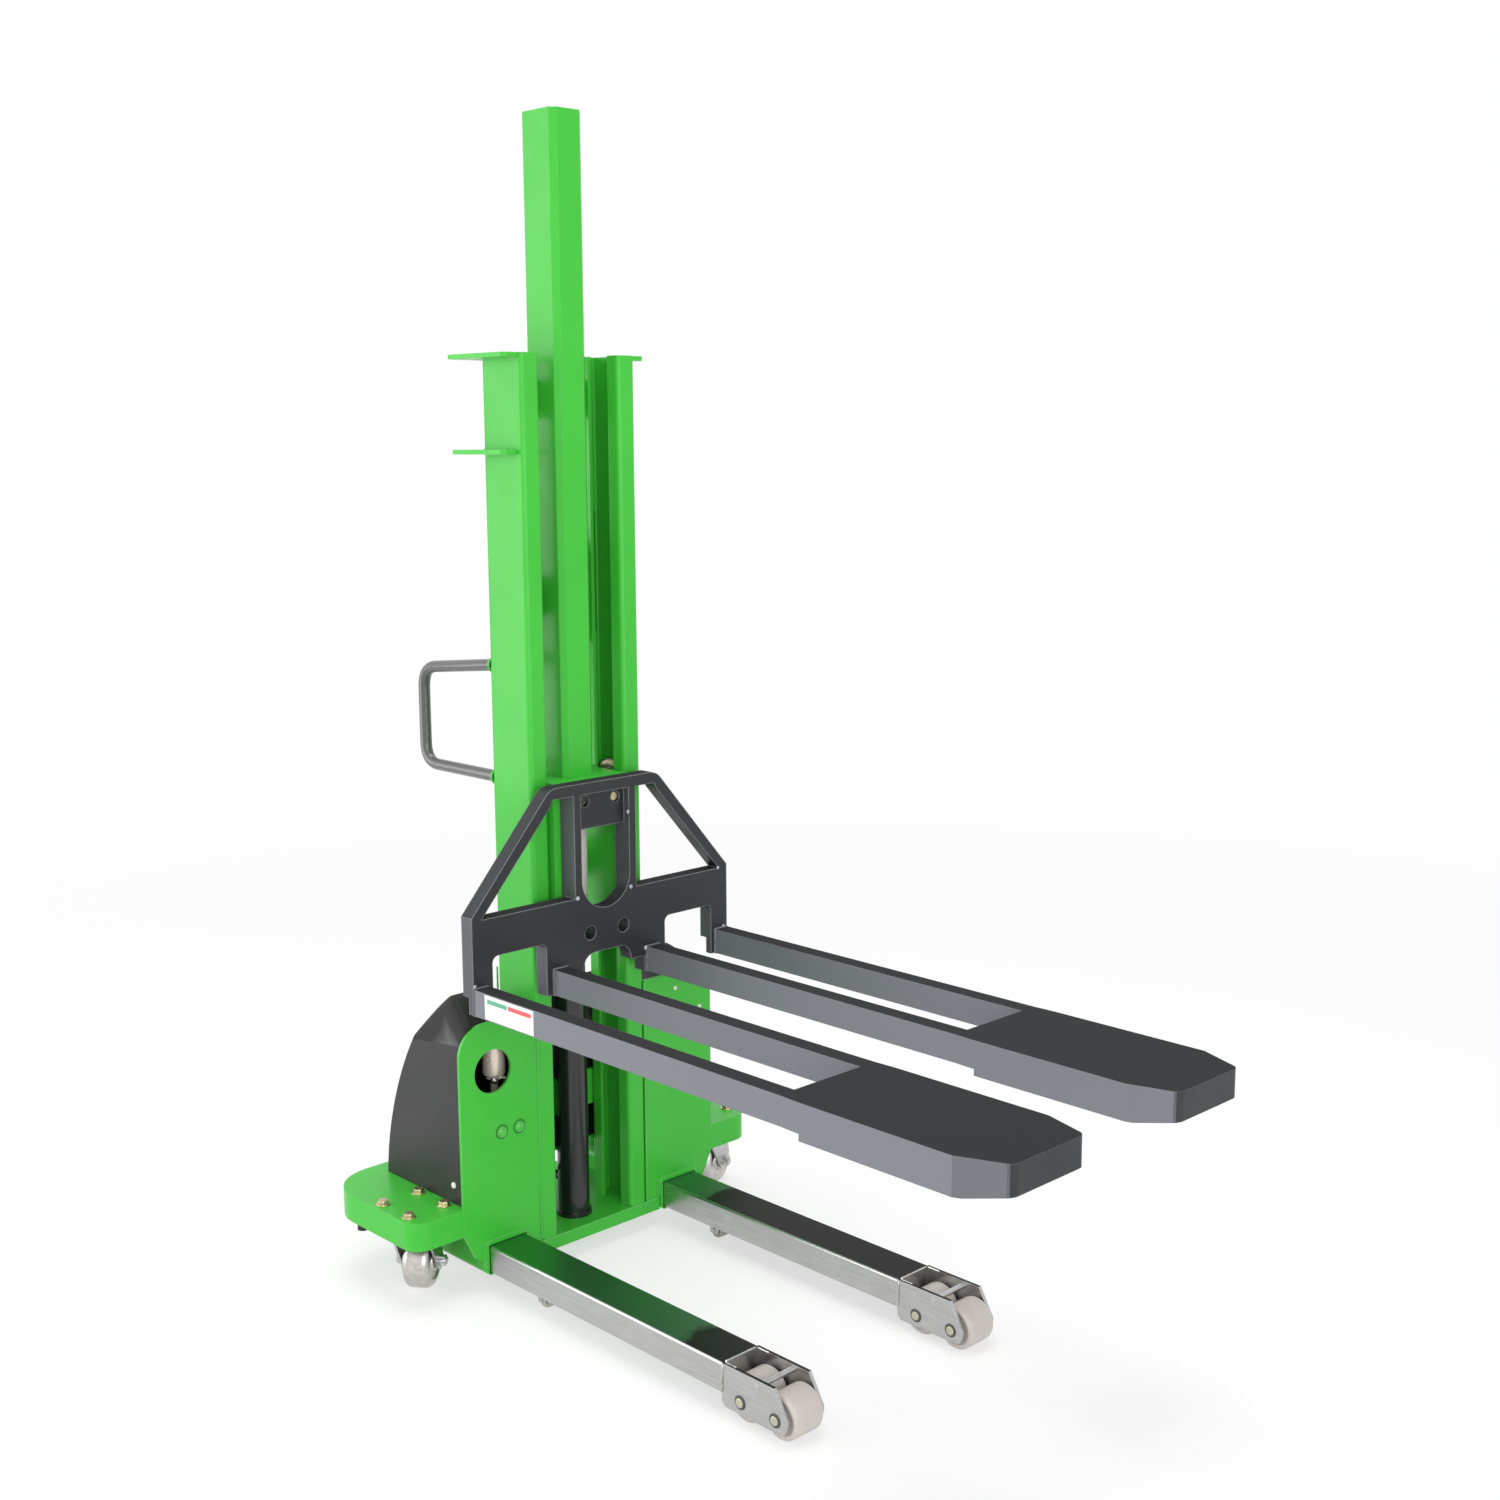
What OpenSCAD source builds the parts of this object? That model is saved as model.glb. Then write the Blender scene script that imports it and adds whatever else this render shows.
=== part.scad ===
// Self-loading stacker: a hand-pushed lift truck whose forks straddle two telescoping legs.
// The forks point along -Y, +X is the right-hand side seen from the forks, +Z is up.
// The floor is z = 0 and the origin is the middle of the footprint, casters and forks included.

/* [Mast] */
// Height of the tops of the mast channels
mast_top = 1665; // [1500:1:1800]
// Width over both mast channels
mast_w = 257; // [250:1:262]
// Depth of a mast channel, front to back
mast_depth = 114; // [110:1:118]
// Width of a channel across its flanges
channel_w = 40; // [38:0.5:42]
// Wall of the channel section
channel_wall = 7; // [6:0.5:8]
// Depth of the lips beside the channel's mouth
channel_lip = 30; // [26:1:33]
// Outside corner radius of the channel section
channel_r = 9; // [8:0.5:11]
// Height of the flat ties behind the mast
tie_h = 70; // [40:1:100]
// Thickness of the ties and yoke plates
tie_t = 8; // [5:0.5:12]
// How far the yoke stands out beside the mast
yoke_side = 31; // [15:1:35]
// How far the yoke stands out behind the mast
yoke_back = 62; // [45:1:70]
// Height of the small side plate below the yoke
side_plate_z = 1492; // [1400:1:1560]

/* [Chassis] */
// Height of the underside of the base plate
base_z = 34; // [30:1:38]
// Thickness of the base plate
base_t = 24; // [16:1:26]
// Depth of the chassis behind its front plane
chassis_depth = 290; // [270:1:320]
// Height of the top of the power deck
deck_top = 170; // [165:1:180]
// Thickness of the power deck
deck_t = 6; // [5:0.5:8]
// Half width over the front panels
panel_half_w = 300; // [296:1:306]
// Height of the top of the front panels
panel_top = 502; // [480:1:530]
// Thickness of the front panels
panel_t = 6; // [4:0.5:8]
// Radius of the outer top corner of a front panel
panel_r = 56; // [40:1:70]
// Diameter of the inspection hole in the left panel
hole_d = 80; // [60:1:90]
// Height of the inspection hole
hole_z = 410; // [390:1:425]
// Side offset of the inspection hole
hole_x = 228; // [215:1:235]
// Reach of a caster bracket beside the front panel
bracket_reach = 104; // [98:1:110]
// Height of the skirt of a caster bracket
skirt_h = 51; // [40:1:58]
// Wall of the caster bracket's skirt
skirt_t = 5; // [3:0.5:8]
// Radius of the bracket's front corner
bracket_front_r = 34; // [20:1:40]
// Radius of the bracket's rear corner
bracket_rear_r = 90; // [60:1:96]

/* [Legs] */
// Side distance from the middle to a leg's axis
leg_x = 208.5; // [206:0.5:211]
// Width of a leg tube
leg_w = 82; // [80:1:84]
// Height of a leg tube
leg_h = 52; // [48:1:54]
// Height of the underside of a leg tube
leg_z = 37; // [36:0.5:39]
// Wall of a leg tube
leg_wall = 5; // [4:0.5:6]
// Outside corner radius of a leg tube
leg_r = 5; // [3:0.5:6]
// Reach of a leg tube in front of the chassis
leg_front = 611; // [560:1:640]
// Length of leg tube that stays inside its sleeve
leg_back = 270; // [240:1:280]
// Wall of the leg sleeves
sleeve_wall = 5; // [4:0.5:6]
// Play between a leg tube and its sleeve
sleeve_play = 1.2; // [0.5:0.1:1.5]
// How far a sleeve stands out in front of the panel
sleeve_lip = 5; // [2:0.5:8]
// Width of the slot under a sleeve
sleeve_slot = 46; // [42:1:54]

/* [Load wheels] */
// Diameter of a load wheel
load_d = 75; // [70:0.5:76]
// Width of a load wheel
load_w = 62; // [54:1:64]
// Distance between the two axles of a leg
load_pitch = 76.5; // [76.2:0.1:80]
// Distance from the tube end to the rear axle
load_first = 41.5; // [40.5:0.5:48]
// Diameter of the load wheel axles
load_axle_d = 14; // [12:0.5:18]
// Nose radius of the wheel plates around the front axle
nose_r = 26; // [23:0.5:28]
// Thickness of the wheel plates
wheel_plate_t = 6; // [5:0.5:7]
// Drop of the wheel plates below the axles
plate_drop = 20; // [17:0.5:22]
// Diameter of the cross rod between the wheel plates
rod_d = 10; // [8:0.5:12]
// Diameter of the small mid roller under a leg
mid_d = 34; // [28:0.5:34]
// Width of the mid roller
mid_w = 24; // [18:0.5:28]
// Distance of the mid roller in front of the chassis
mid_front = 122; // [100:1:160]

/* [Casters] */
// Diameter of a caster wheel
caster_d = 100; // [90:1:104]
// Width of a caster wheel
caster_w = 50; // [40:1:52]
// Trail of a caster wheel behind its swivel axis
caster_trail = 38; // [30:1:38]
// Distance of a caster's swivel axis from its bracket's outer edge
caster_inset = 56; // [53:0.5:58]
// Distance of the swivel axis behind the front plane
caster_back = 85; // [80:1:100]
// Bolt spacing of a caster plate, side to side
caster_bolt_x = 75; // [70:1:80]
// Bolt spacing of a caster plate, front to back
caster_bolt_y = 80; // [70:1:86]
// Direction of the left caster's trail
caster_turn_left = 38; // [0:1:90]
// Direction of the right caster's trail
caster_turn_right = 18; // [0:1:90]

/* [Fork carriage] */
// Height of the fork tops in the drawn pose
fork_top = 586; // [570:1:600]
// Half width over both forks
fork_half_w = 300; // [295:1:306]
// Half of the gap between the forks
fork_gap_half = 94; // [88:1:98]
// Width of a fork rail
rail_w = 32; // [28:1:36]
// Height of a fork rail
rail_h = 47; // [40:1:52]
// Distance of the fork tips in front of the chassis
fork_tip = 1191; // [1100:1:1250]
// Start of the solid toe plate
toe_start = 789; // [775:1:830]
// Height of the toe box
toe_h = 58; // [53:1:62]
// Extra half width of the toe box over the rails
toe_flare = 2; // [1:0.5:5]
// Length of the tapered end of the toe
toe_taper = 78; // [60:1:100]
// Side draw of the taper, outside
toe_draw_out = 30; // [20:1:40]
// Side draw of the taper, inside
toe_draw_in = 22; // [15:1:30]
// Rise of the underside at the tip
toe_rise = 12; // [6:0.5:18]
// Wall of the toe box's sheet
toe_wall = 6; // [4:0.5:8]
// Distance of the carriage front face from the chassis
carriage_front = 49.5; // [48:0.5:54]
// Thickness of the carriage frame, front to back
carriage_t = 30; // [26:0.5:34]
// Width of the carriage outline bar
bar_w = 21; // [18:0.5:24]
// Height of the carriage top above the fork tops
carriage_rise = 327; // [315:1:340]
// Height of the carriage shoulders above the fork tops
shoulder_rise = 124; // [115:1:135]
// Half width of the level part of the carriage top
crown_half = 108; // [100:1:116]
// Height of the lower band's underside above the fork tops
band_rise = 50; // [46:1:56]
// Height of the lower mast rollers' axis above the fork tops
lower_roller_rise = 54; // [52:1:60]
// Height of the low screw holes beside the mast above the fork tops
low_hole_rise = 51; // [46:1:56]
// Height of the high screw holes beside the mast above the fork tops
high_hole_rise = 290; // [280:1:296]
// Height of the bottom of the carriage window's round end above the fork tops
window_rise = 93; // [88:1:100]
// Side distance of the low screw holes
low_hole_x = 39; // [36:0.5:42]
// Side distance of the high screw holes
high_hole_x = 35.5; // [32:0.5:38]
// Half width of the arch around the lift cylinder
arch_half_w = 56; // [50:1:60]
// Corner radius of the arch
arch_r = 26; // [20:1:30]
// Thickness of the plates that carry the outer rails
foot_t = 14; // [10:1:20]
// Reach of the green side plates behind the middle of the mast
plate_reach = 44; // [40:1:48]
// Half width of the lower centre of the carriage
centre_half = 140; // [132:1:145]
// Side distance of the middle of an inner upright
upright_x = 64; // [60:1:68]
// Width of an inner upright
upright_w = 16; // [12:0.5:20]

/* [Lift] */
// Travel from the drawn pose down to the legs
lift_down = 482; // [440:1:484]
// Travel from the drawn pose up to full height
lift_up = 714; // [600:1:724]
// Thickness of the green side plates of the carriage
slide_plate_t = 20; // [14:0.5:20]
// Play between the side plates and the channel lips
slide_play = 3; // [1:0.5:5]
// Diameter of the mast rollers
roller_d = 98; // [90:0.5:98]
// Width of the mast rollers
roller_w = 22; // [18:0.5:23]
// Diameter of the roller pins
pin_d = 30; // [24:0.5:36]
// Running clearance on the radius of pins and axles
running = 0.05; // [0.02:0.01:0.1]
// Outside width of the lift column
column_w = 70; // [68:1:72]
// Outside depth of the lift column
column_depth = 93; // [88:1:96]
// Wall of the lift column
column_wall = 3.5; // [2:0.5:3.5]
// Corner bevel of the lift column
column_bevel = 10; // [6:0.5:12]
// Height of the top of the lift column
column_top = 2080; // [2030:1:2120]
// Outside diameter of the lift cylinder
cylinder_d = 60; // [54:0.5:60]
// Height of the top of the lift cylinder
cylinder_top = 1480; // [1440:1:1520]
// Diameter of the lift ram
ram_d = 40; // [32:0.5:42]
// Distance of the cylinder axis behind the front plane
cylinder_back = 64; // [62:0.5:65]

/* [Rear] */
// Half width of the rear cover
cover_half_w = 293; // [285:1:295]
// Height of the rear cover's top
cover_top = 576; // [555:1:590]
// Depth of the rear cover behind the front plane
cover_depth = 261; // [254:1:266]
// Wall of the rear cover
cover_wall = 4; // [3:0.5:5]
// Fullness of the cover's back, 2 for an ellipse
cover_fullness = 1.66; // [1.6:0.02:2]
// Height of the crease on the cover's side, at the front
crease_z = 469; // [455:1:480]
// Side draw of the cover's shoulder, at the front
shoulder_draw = 70; // [50:1:80]
// Height of the level top of the rear cover
cover_level = 545; // [530:1:560]
// Half width of the sunken shelf in the cover's top, around the mast
cover_shelf_x = 222; // [200:1:224]
// Diameter of the handle tube
handle_d = 22; // [18:0.5:26]
// Side distance of a handle
handle_x = 117; // [112:1:120]
// Reach of a handle behind the mast
handle_reach = 222; // [180:1:240]
// Height of the lower handle arm
handle_low = 914; // [880:1:940]
// Height of the upper handle arm at the mast
handle_high = 1118; // [1080:1:1150]
// Fall of the upper handle arm towards the grip
handle_fall = 22; // [0:1:30]
// Width of the control box
box_w = 148; // [130:1:150]
// Depth of the control box
box_depth = 60; // [45:1:62]
// Height of the control box
box_h = 190; // [180:1:210]
// Height of the underside of the control box
box_z = 1140; // [1120:1:1150]
// Height of the oil line from pump to lift cylinder
port_z = 120; // [116:1:126]
// Diameter of the oil line
hose_d = 13; // [10:0.5:16]
// Bend radius of the oil line
hose_bend = 30; // [26:1:32]
// Side distance from the middle to the pump
pump_x = 212; // [205:1:220]
// Distance of the pump behind the front plane
pump_back = 156; // [150:1:160]
// Diameter of the pump motor
motor_d = 78; // [70:1:80]
// Travel of the push buttons
button_travel = 3; // [2:0.5:5]
// Gap around a push button
button_gap = 0.4; // [0.3:0.1:0.8]

/* [Hidden] */

$fn = 48;
green = [0.22, 0.68, 0.24];
graphite = [0.20, 0.21, 0.24];
zinc = [0.78, 0.79, 0.80];
black = [0.07, 0.07, 0.08];
yellow_zinc = [0.72, 0.66, 0.42];
nylon = [0.90, 0.89, 0.86];

// Small lap that keeps cutting bodies clear of the faces they cut
lap = 1;
// Gap between bodies that pass each other
pass = 0.4;

base_top = base_z + base_t;
leg_top = leg_z + leg_h;
sleeve_out = leg_w / 2 + sleeve_play + sleeve_wall;
sleeve_top = leg_top + sleeve_play + sleeve_wall;
sleeve_z = leg_z - sleeve_play - sleeve_wall + 2.4;
mast_half = mast_w / 2;
mouth_x = mast_half - channel_w;
mast_mid = mast_depth / 2;
plate_out = mouth_x - slide_play;
plate_in = plate_out - slide_plate_t;
roller_x = mast_half - channel_wall - (channel_w - 2 * channel_wall) / 2;
carriage_top = fork_top + carriage_rise;
shoulder_z = fork_top + shoulder_rise;
band_z = fork_top + band_rise;
rail_bottom = fork_top - rail_h;
bridge_t = 8;
bridge_z = carriage_top - 10;
column_foot = bridge_z + bridge_t;
upper_roller_z = bridge_z - 25;
lower_roller_z = fork_top + lower_roller_rise;
lift_frame_z = fork_top - 1;
load_r = load_d / 2;
rear_axle = leg_front + load_first;
front_axle = rear_axle + load_pitch;
plate_front = front_axle + nose_r;
caster_r = caster_d / 2;
deck_under = deck_top - deck_t;
bracket_half_w = panel_half_w + bracket_reach;
caster_x = bracket_half_w - caster_inset;
handle_back = mast_depth + handle_reach;
back_reach = max(handle_back + handle_d / 2, chassis_depth);
tread_r = 10;
side_reach = caster_x + (caster_trail + caster_r - tread_r) * cos(caster_turn_right)
  + (caster_w / 2 - tread_r) * sin(caster_turn_right) + tread_r;
side_shift = -(max(side_reach, bracket_half_w) - bracket_half_w) / 2;
origin_shift = (fork_tip - back_reach) / 2;
box_back = mast_depth + tie_t + box_depth;

// Points of an arc of radius r about c, from angle a to angle b
function arc(c, r, a, b, n = 8) = [for (i = [0:n]) c + r * [cos(a + (b - a) * i / n), sin(a + (b - a) * i / n)]];

// Points of a rectangle with rounded corners, from corner p to corner q
function round_rect(p, q, r) = concat(
  arc([q[0] - r, q[1] - r], r, 0, 90, 6),
  arc([p[0] + r, q[1] - r], r, 90, 180, 6),
  arc([p[0] + r, p[1] + r], r, 180, 270, 6),
  arc([q[0] - r, p[1] + r], r, 270, 360, 6));

// Moves the drawing from the chassis front plane to the footprint's middle
module placed() {
  translate([side_shift, origin_shift, 0]) children();
}

// Extrudes a side view, drawn as distance behind the front plane and height, from x = a to x = b
module side_view(a, b) {
  translate([a, 0, 0]) rotate([90, 0, 90]) linear_extrude(b - a) children();
}

// Extrudes a front view, drawn as x and height, from y = a to y = b
module front_view(a, b) {
  translate([0, b, 0]) rotate([90, 0, 0]) linear_extrude(b - a) children();
}

// A block between two opposite corners
module block(p, q) {
  translate(p) cube(q - p);
}

// A round bar along x, from x = a to x = b
module bar_x(a, b, y, z, d) {
  translate([a, y, z]) rotate([0, 90, 0]) cylinder(h = b - a, d = d);
}

// A round bar along y, from y = a to y = b
module bar_y(a, b, x, z, d) {
  translate([x, a, z]) rotate([-90, 0, 0]) cylinder(h = b - a, d = d);
}

// A bolt head with a washer, standing on z = 0
module bolt_head(d = 14, h = 7) {
  cylinder(h = 2, d = 1.6 * d);
  translate([0, 0, 2]) cylinder(h = h - 2, d = 1.35 * d, $fn = 6);
}

module base_plate() {
  half = leg_x - sleeve_out;
  color(green) placed() difference() {
    block([-half, 0, base_z], [half, chassis_depth, base_top]);
    for (x = [-mast_half / 2, mast_half / 2]) {
      translate([x, chassis_depth - 60, base_z - lap]) cylinder(h = base_t + 2 * lap, d = 16);
    }
  }
}

module sleeve_section() {
  difference() {
    polygon(round_rect([-sleeve_out, sleeve_z], [sleeve_out, sleeve_top], leg_r + sleeve_wall));
    translate([-leg_w / 2 - sleeve_play, leg_z - sleeve_play])
      square([leg_w + 2 * sleeve_play, leg_h + 2 * sleeve_play]);
    translate([-sleeve_slot / 2, sleeve_z - lap]) square([sleeve_slot, sleeve_wall + 2 * lap]);
  }
}

clamp_back = chassis_depth - 34;
clamp_d = 12;
clamp_play = 0.5;
boss_h = 14;

module leg_sleeve(side) {
  color(green) placed() mirrored(side) difference() {
    union() {
      translate([leg_x, 0, 0]) front_view(-sleeve_lip, chassis_depth) sleeve_section();
      translate([leg_x, clamp_back, sleeve_top - lap]) cylinder(h = boss_h + lap, d = 26);
      block([leg_x + sleeve_out - sleeve_wall, panel_t, sleeve_top - leg_r - sleeve_wall],
            [leg_x + sleeve_out, chassis_depth, deck_under]);
    }
    translate([leg_x, clamp_back, leg_top - lap]) cylinder(h = 40, d = clamp_d + 2 * running);
  }
}

module panel_outline() {
  difference() {
    polygon(concat(
      [[mast_half, base_top], [leg_x - sleeve_out, base_top], [leg_x - sleeve_out, sleeve_top],
       [leg_x + sleeve_out, sleeve_top], [leg_x + sleeve_out, base_top],
       [panel_half_w - 24, base_top + 14], [panel_half_w, deck_top - skirt_h]],
      arc([panel_half_w - panel_r, panel_top - panel_r], panel_r, 0, 90),
      [[mast_half, panel_top]]));
  }
}

bolt_left = [[212, 293], [173, 293]];
screw_right = [[208, 471], [271, 421]];

module front_panel(side) {
  color(green) placed() difference() {
    scale([side, 1, 1]) front_view(0, panel_t) panel_outline();
    if (side < 0) {
      bar_y(-lap, panel_t + lap, -hole_x, hole_z, hole_d);
      for (p = bolt_left) bar_y(-lap, panel_t + lap, -p[0], p[1], 12);
    }
    if (side > 0) {
      for (p = screw_right) bar_y(-lap, panel_t + lap, p[0], p[1], 6);
    }
  }
}

// The panels mirrored with exact faces
module mirrored(side) {
  if (side < 0) {
    mirror([1, 0, 0]) children();
  } else {
    children();
  }
}

module power_deck() {
  color(green) placed() difference() {
    block([-panel_half_w, panel_t, deck_under], [panel_half_w, chassis_depth, deck_top]);
    block([-mast_half - pass, -lap, deck_under - lap], [mast_half + pass, mast_depth + tie_t + pass, deck_top + lap]);
    block([-150, chassis_depth - 26, deck_under - lap], [150, chassis_depth + lap, deck_top + lap]);
    translate([-pump_x, pump_back, deck_under - lap]) cylinder(h = deck_t + 2 * lap, d = hose_d + 2);
  }
}

module bracket_outline(inset) {
  w = bracket_half_w - inset;
  polygon(concat(
    [[panel_half_w, inset]],
    arc([w - bracket_front_r + inset, bracket_front_r], bracket_front_r - inset, -90, 0),
    arc([w - bracket_rear_r + inset, chassis_depth - bracket_rear_r], bracket_rear_r - inset, 0, 90),
    [[panel_half_w, chassis_depth - inset]]));
}

module caster_bracket(side) {
  color(green) placed() mirrored(side) difference() {
    translate([0, 0, deck_top - skirt_h]) linear_extrude(skirt_h) bracket_outline(0);
    translate([0, 0, deck_top - skirt_h - lap]) linear_extrude(skirt_h - deck_t + lap) difference() {
      bracket_outline(skirt_t);
    }
    for (x = [-1, 1], y = [-1, 1]) {
      translate([caster_x + x * caster_bolt_x / 2, caster_back + y * caster_bolt_y / 2, deck_under - lap])
        cylinder(h = deck_t + 2 * lap, d = 11);
    }
  }
}

module channel_section() {
  inner = channel_w - channel_wall;
  difference() {
    polygon(round_rect([0, 0], [channel_w, mast_depth], channel_r));
    polygon(round_rect([channel_wall, channel_wall], [inner, mast_depth - channel_wall], 3));
    translate([-lap, channel_lip]) square([channel_wall + 2 * lap, mast_depth - 2 * channel_lip]);
  }
}

slot_x = mast_half - 13;
slot_z = 1163;
slot_h = 224;

module mast_channel(side) {
  color(green) placed() difference() {
    mirrored(side) translate([mouth_x, 0, base_top]) linear_extrude(mast_top - base_top) channel_section();
    if (side > 0) {
      block([slot_x - 3, mast_depth - channel_wall - lap, slot_z], [slot_x + 3, mast_depth + lap, slot_z + slot_h]);
    }
  }
}

module mast_plates() {
  w = mast_half + yoke_side;
  color(green) placed() {
    translate([0, 0, mast_top - tie_t]) linear_extrude(tie_t) difference() {
      polygon(round_rect([-w, 8], [w, mast_depth + yoke_back], 12));
      translate([-mast_half, -lap]) square([mast_w, mast_depth + lap]);
      translate([-mast_half + 30, mast_depth + 20]) square([mast_w - 60, yoke_back - 34]);
    }
    translate([0, 0, side_plate_z]) linear_extrude(tie_t) difference() {
      polygon(round_rect([-w, 16], [-mouth_x, mast_depth + yoke_back - 8], 10));
      translate([-mast_half, -lap]) square([mast_half, mast_depth + lap]);
    }
  }
}

tie_z = [240, 700, box_z + 60, mast_top - tie_h - 40];
tie_half = mouth_x + 14;

module mast_ties() {
  color(green) placed() for (z = tie_z) {
    block([-tie_half, mast_depth, z], [tie_half, mast_depth + tie_t, z + tie_h]);
  }
}

foot_h = 8;
port_back = cylinder_back + cylinder_d / 2 + 14;

module lift_cylinder() {
  color(black) placed() translate([0, cylinder_back, 0]) difference() {
    union() {
      translate([0, 0, base_top]) cylinder(h = foot_h, d = cylinder_d + 8);
      translate([0, 0, base_top]) cylinder(h = cylinder_top - base_top, d = cylinder_d, $fn = 96);
      bar_y(0, port_back - cylinder_back, 0, port_z, 20);
    }
    translate([0, 0, base_top + 20]) cylinder(h = cylinder_top - base_top - 60, d = ram_d + 6, $fn = 96);
    translate([0, 0, base_top + 40]) cylinder(h = cylinder_top, d = ram_d + 2 * running, $fn = 96);
  }
}

cover_screw_back = 36;
cover_screw_z = deck_top + 35;
cover_edge_r = 10;
cover_foot = deck_top - 20;
crease_fall = 0.13;
cover_rows = 14;
shoulder_steps = 4;

// Side view of the cover's top and back at the angle t, as an ellipse of the given fullness
function cover_point(t) = [
  panel_t + (cover_depth - panel_t) * pow(sin(t), 2 / cover_fullness),
  deck_top + (cover_top - deck_top) * pow(cos(t), 2 / cover_fullness)];

// Direction into the cover at the angle t, square to its side view
function cover_inward(t) = let (
  d = t == 0 ? [1, 0] : t == 90 ? [0, -1] : cover_point(t + 0.2) - cover_point(t - 0.2))
  [d[1], -d[0]] / norm(d);

// Where the shoulder that starts at a point of the side view meets the cover's flat side
function crease_point(at, inward) = let (
  reach = (at[1] - crease_z + crease_fall * (at[0] - panel_t)) / (-inward[1] - crease_fall * inward[0]),
  free = at + max(cover_edge_r, reach) * inward,
  y = max(free[0], panel_t + 0.4 * (at[0] - panel_t)))
  [y, reach > cover_edge_r ? crease_z - crease_fall * (y - panel_t) : free[1]];

// One row of the cover's skin: foot, crease, rounded shoulder and the same mirrored
function cover_row(at, inward, inset) = let (
  crease = crease_point(at, inward),
  part = norm(crease - at) / (cover_top - crease_z),
  draw = cover_edge_r + (shoulder_draw - cover_edge_r) * min(1, part) - inset,
  w = cover_half_w - inset,
  top = at + inset * inward,
  left = concat([[-w, crease[0], cover_foot - lap]], [for (i = [0:shoulder_steps])
    let (a = 90 * i / shoulder_steps, c = top + (1 - sin(a)) * (crease - top))
    [-w + draw * (1 - cos(a)), c[0], c[1]]]))
  concat(left, [for (i = [len(left) - 1:-1:0]) [-left[i][0], left[i][1], left[i][2]]]);

// A closed skin over rows of equally many points
module skin(rows) {
  n = len(rows[0]);
  m = len(rows);
  points = [for (row = rows) each row];
  sides = [for (i = [0:m - 2]) for (k = [0:n - 1]) for (half = [0, 1]) half == 0
    ? [i * n + k, (i + 1) * n + (k + 1) % n, i * n + (k + 1) % n]
    : [i * n + k, (i + 1) * n + k, (i + 1) * n + (k + 1) % n]];
  first = [for (k = [1:n - 2]) [0, k, k + 1]];
  last = [for (k = [1:n - 2]) [(m - 1) * n, (m - 1) * n + k + 1, (m - 1) * n + k]];
  polyhedron(points = points, faces = concat(sides, first, last), convexity = 6);
}

module cover_body(inset) {
  angles = [for (i = [0:cover_rows]) 90 * i / cover_rows];
  rows = [for (t = angles) cover_row(cover_point(t), cover_inward(t), inset)];
  shift = inset > 0 ? lap : 0;
  front = [for (p = rows[0]) [p[0], panel_t - shift, p[2]]];
  foot = cover_row([cover_depth, cover_foot], [-1, 0], inset);
  skin(concat([front], [for (i = [1:cover_rows]) rows[i]], [foot]));
}

module rear_cover() {
  mast_gap = mast_half + 6;
  mast_rear = mast_depth + tie_t + 6;
  shelf_z = panel_top - 2;
  color(black) placed() difference() {
    cover_body(0);
    block([-panel_half_w, -lap, cover_foot - 2 * lap], [panel_half_w, cover_depth + lap, deck_top]);
    difference() {
      cover_body(cover_wall);
      block([-mast_gap - cover_wall, -lap, deck_top - 2 * lap],
            [mast_gap + cover_wall, mast_rear + cover_wall, cover_top + lap]);
      block([-cover_shelf_x - cover_wall, -lap, shelf_z - cover_wall],
            [cover_shelf_x + cover_wall, mast_rear + cover_wall, cover_top + lap]);
      block([-cover_half_w, -lap, cover_level - cover_wall], [cover_half_w, cover_depth, cover_top + lap]);
    }
    block([-mast_gap, -lap, deck_top - 2 * lap], [mast_gap, mast_rear, cover_top + lap]);
    block([-cover_shelf_x, -lap, shelf_z], [cover_shelf_x, mast_rear, cover_top + lap]);
    block([-cover_half_w, -lap, cover_level], [cover_half_w, cover_depth, cover_top + lap]);
    for (side = [-1, 1]) bar_x(side * cover_half_w - 6, side * cover_half_w + 6, cover_screw_back, cover_screw_z, 6);
  }
}

module cover_screws() {
  color(nylon) placed() {
    for (side = [-1, 1]) mirrored(side) {
      bar_x(cover_half_w, cover_half_w + 3, cover_screw_back, cover_screw_z, 12);
      bar_x(cover_half_w - 12, cover_half_w, cover_screw_back, cover_screw_z, 6);
    }
    for (p = screw_right) {
      bar_y(-2.5, 0, p[0], p[1], 9);
      bar_y(0, panel_t + 7, p[0], p[1], 6);
    }
  }
}

module panel_bolts() {
  color(green) placed() for (p = bolt_left) {
    translate([-p[0], 0, p[1]]) rotate([90, 0, 0]) intersection() {
      translate([0, 0, -12]) sphere(d = 40, $fn = 32);
      cylinder(h = 10, d = 22);
    }
    bar_y(0, panel_t + 10, -p[0], p[1], 12);
  }
}

plate_gap = 14;
swivel_gap = 0.5;
race_h = 14;
king_d = 16;
king_h = 18;

module caster_bolts() {
  color(yellow_zinc) placed() for (side = [-1, 1], x = [-1, 1], y = [-1, 1]) {
    translate([side * caster_x + x * caster_bolt_x / 2, caster_back + y * caster_bolt_y / 2, 0]) {
      translate([0, 0, deck_top]) bolt_head();
      translate([0, 0, deck_under - plate_gap - 8]) cylinder(h = deck_t + plate_gap + 8, d = 10);
    }
  }
}

block_h = 64;
motor_h = 118;

module pump_block() {
  color(zinc) placed() translate([-pump_x, pump_back, deck_top])
    block([-46, -42, 0], [46, 42, block_h]);
}

module pump_motor() {
  color(black) placed() translate([-pump_x, pump_back, deck_top + block_h]) {
    cylinder(h = 10, d = motor_d + 6);
    translate([0, 0, 10]) cylinder(h = motor_h, d = motor_d);
    translate([0, 0, motor_h + 10]) cylinder(h = 8, d = motor_d - 18);
  }
}

solenoid_h = 62;
solenoid_d = 42;
solenoid_cap = 10;
solenoid_x = hole_x - 40;
solenoid_back = 52;

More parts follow.
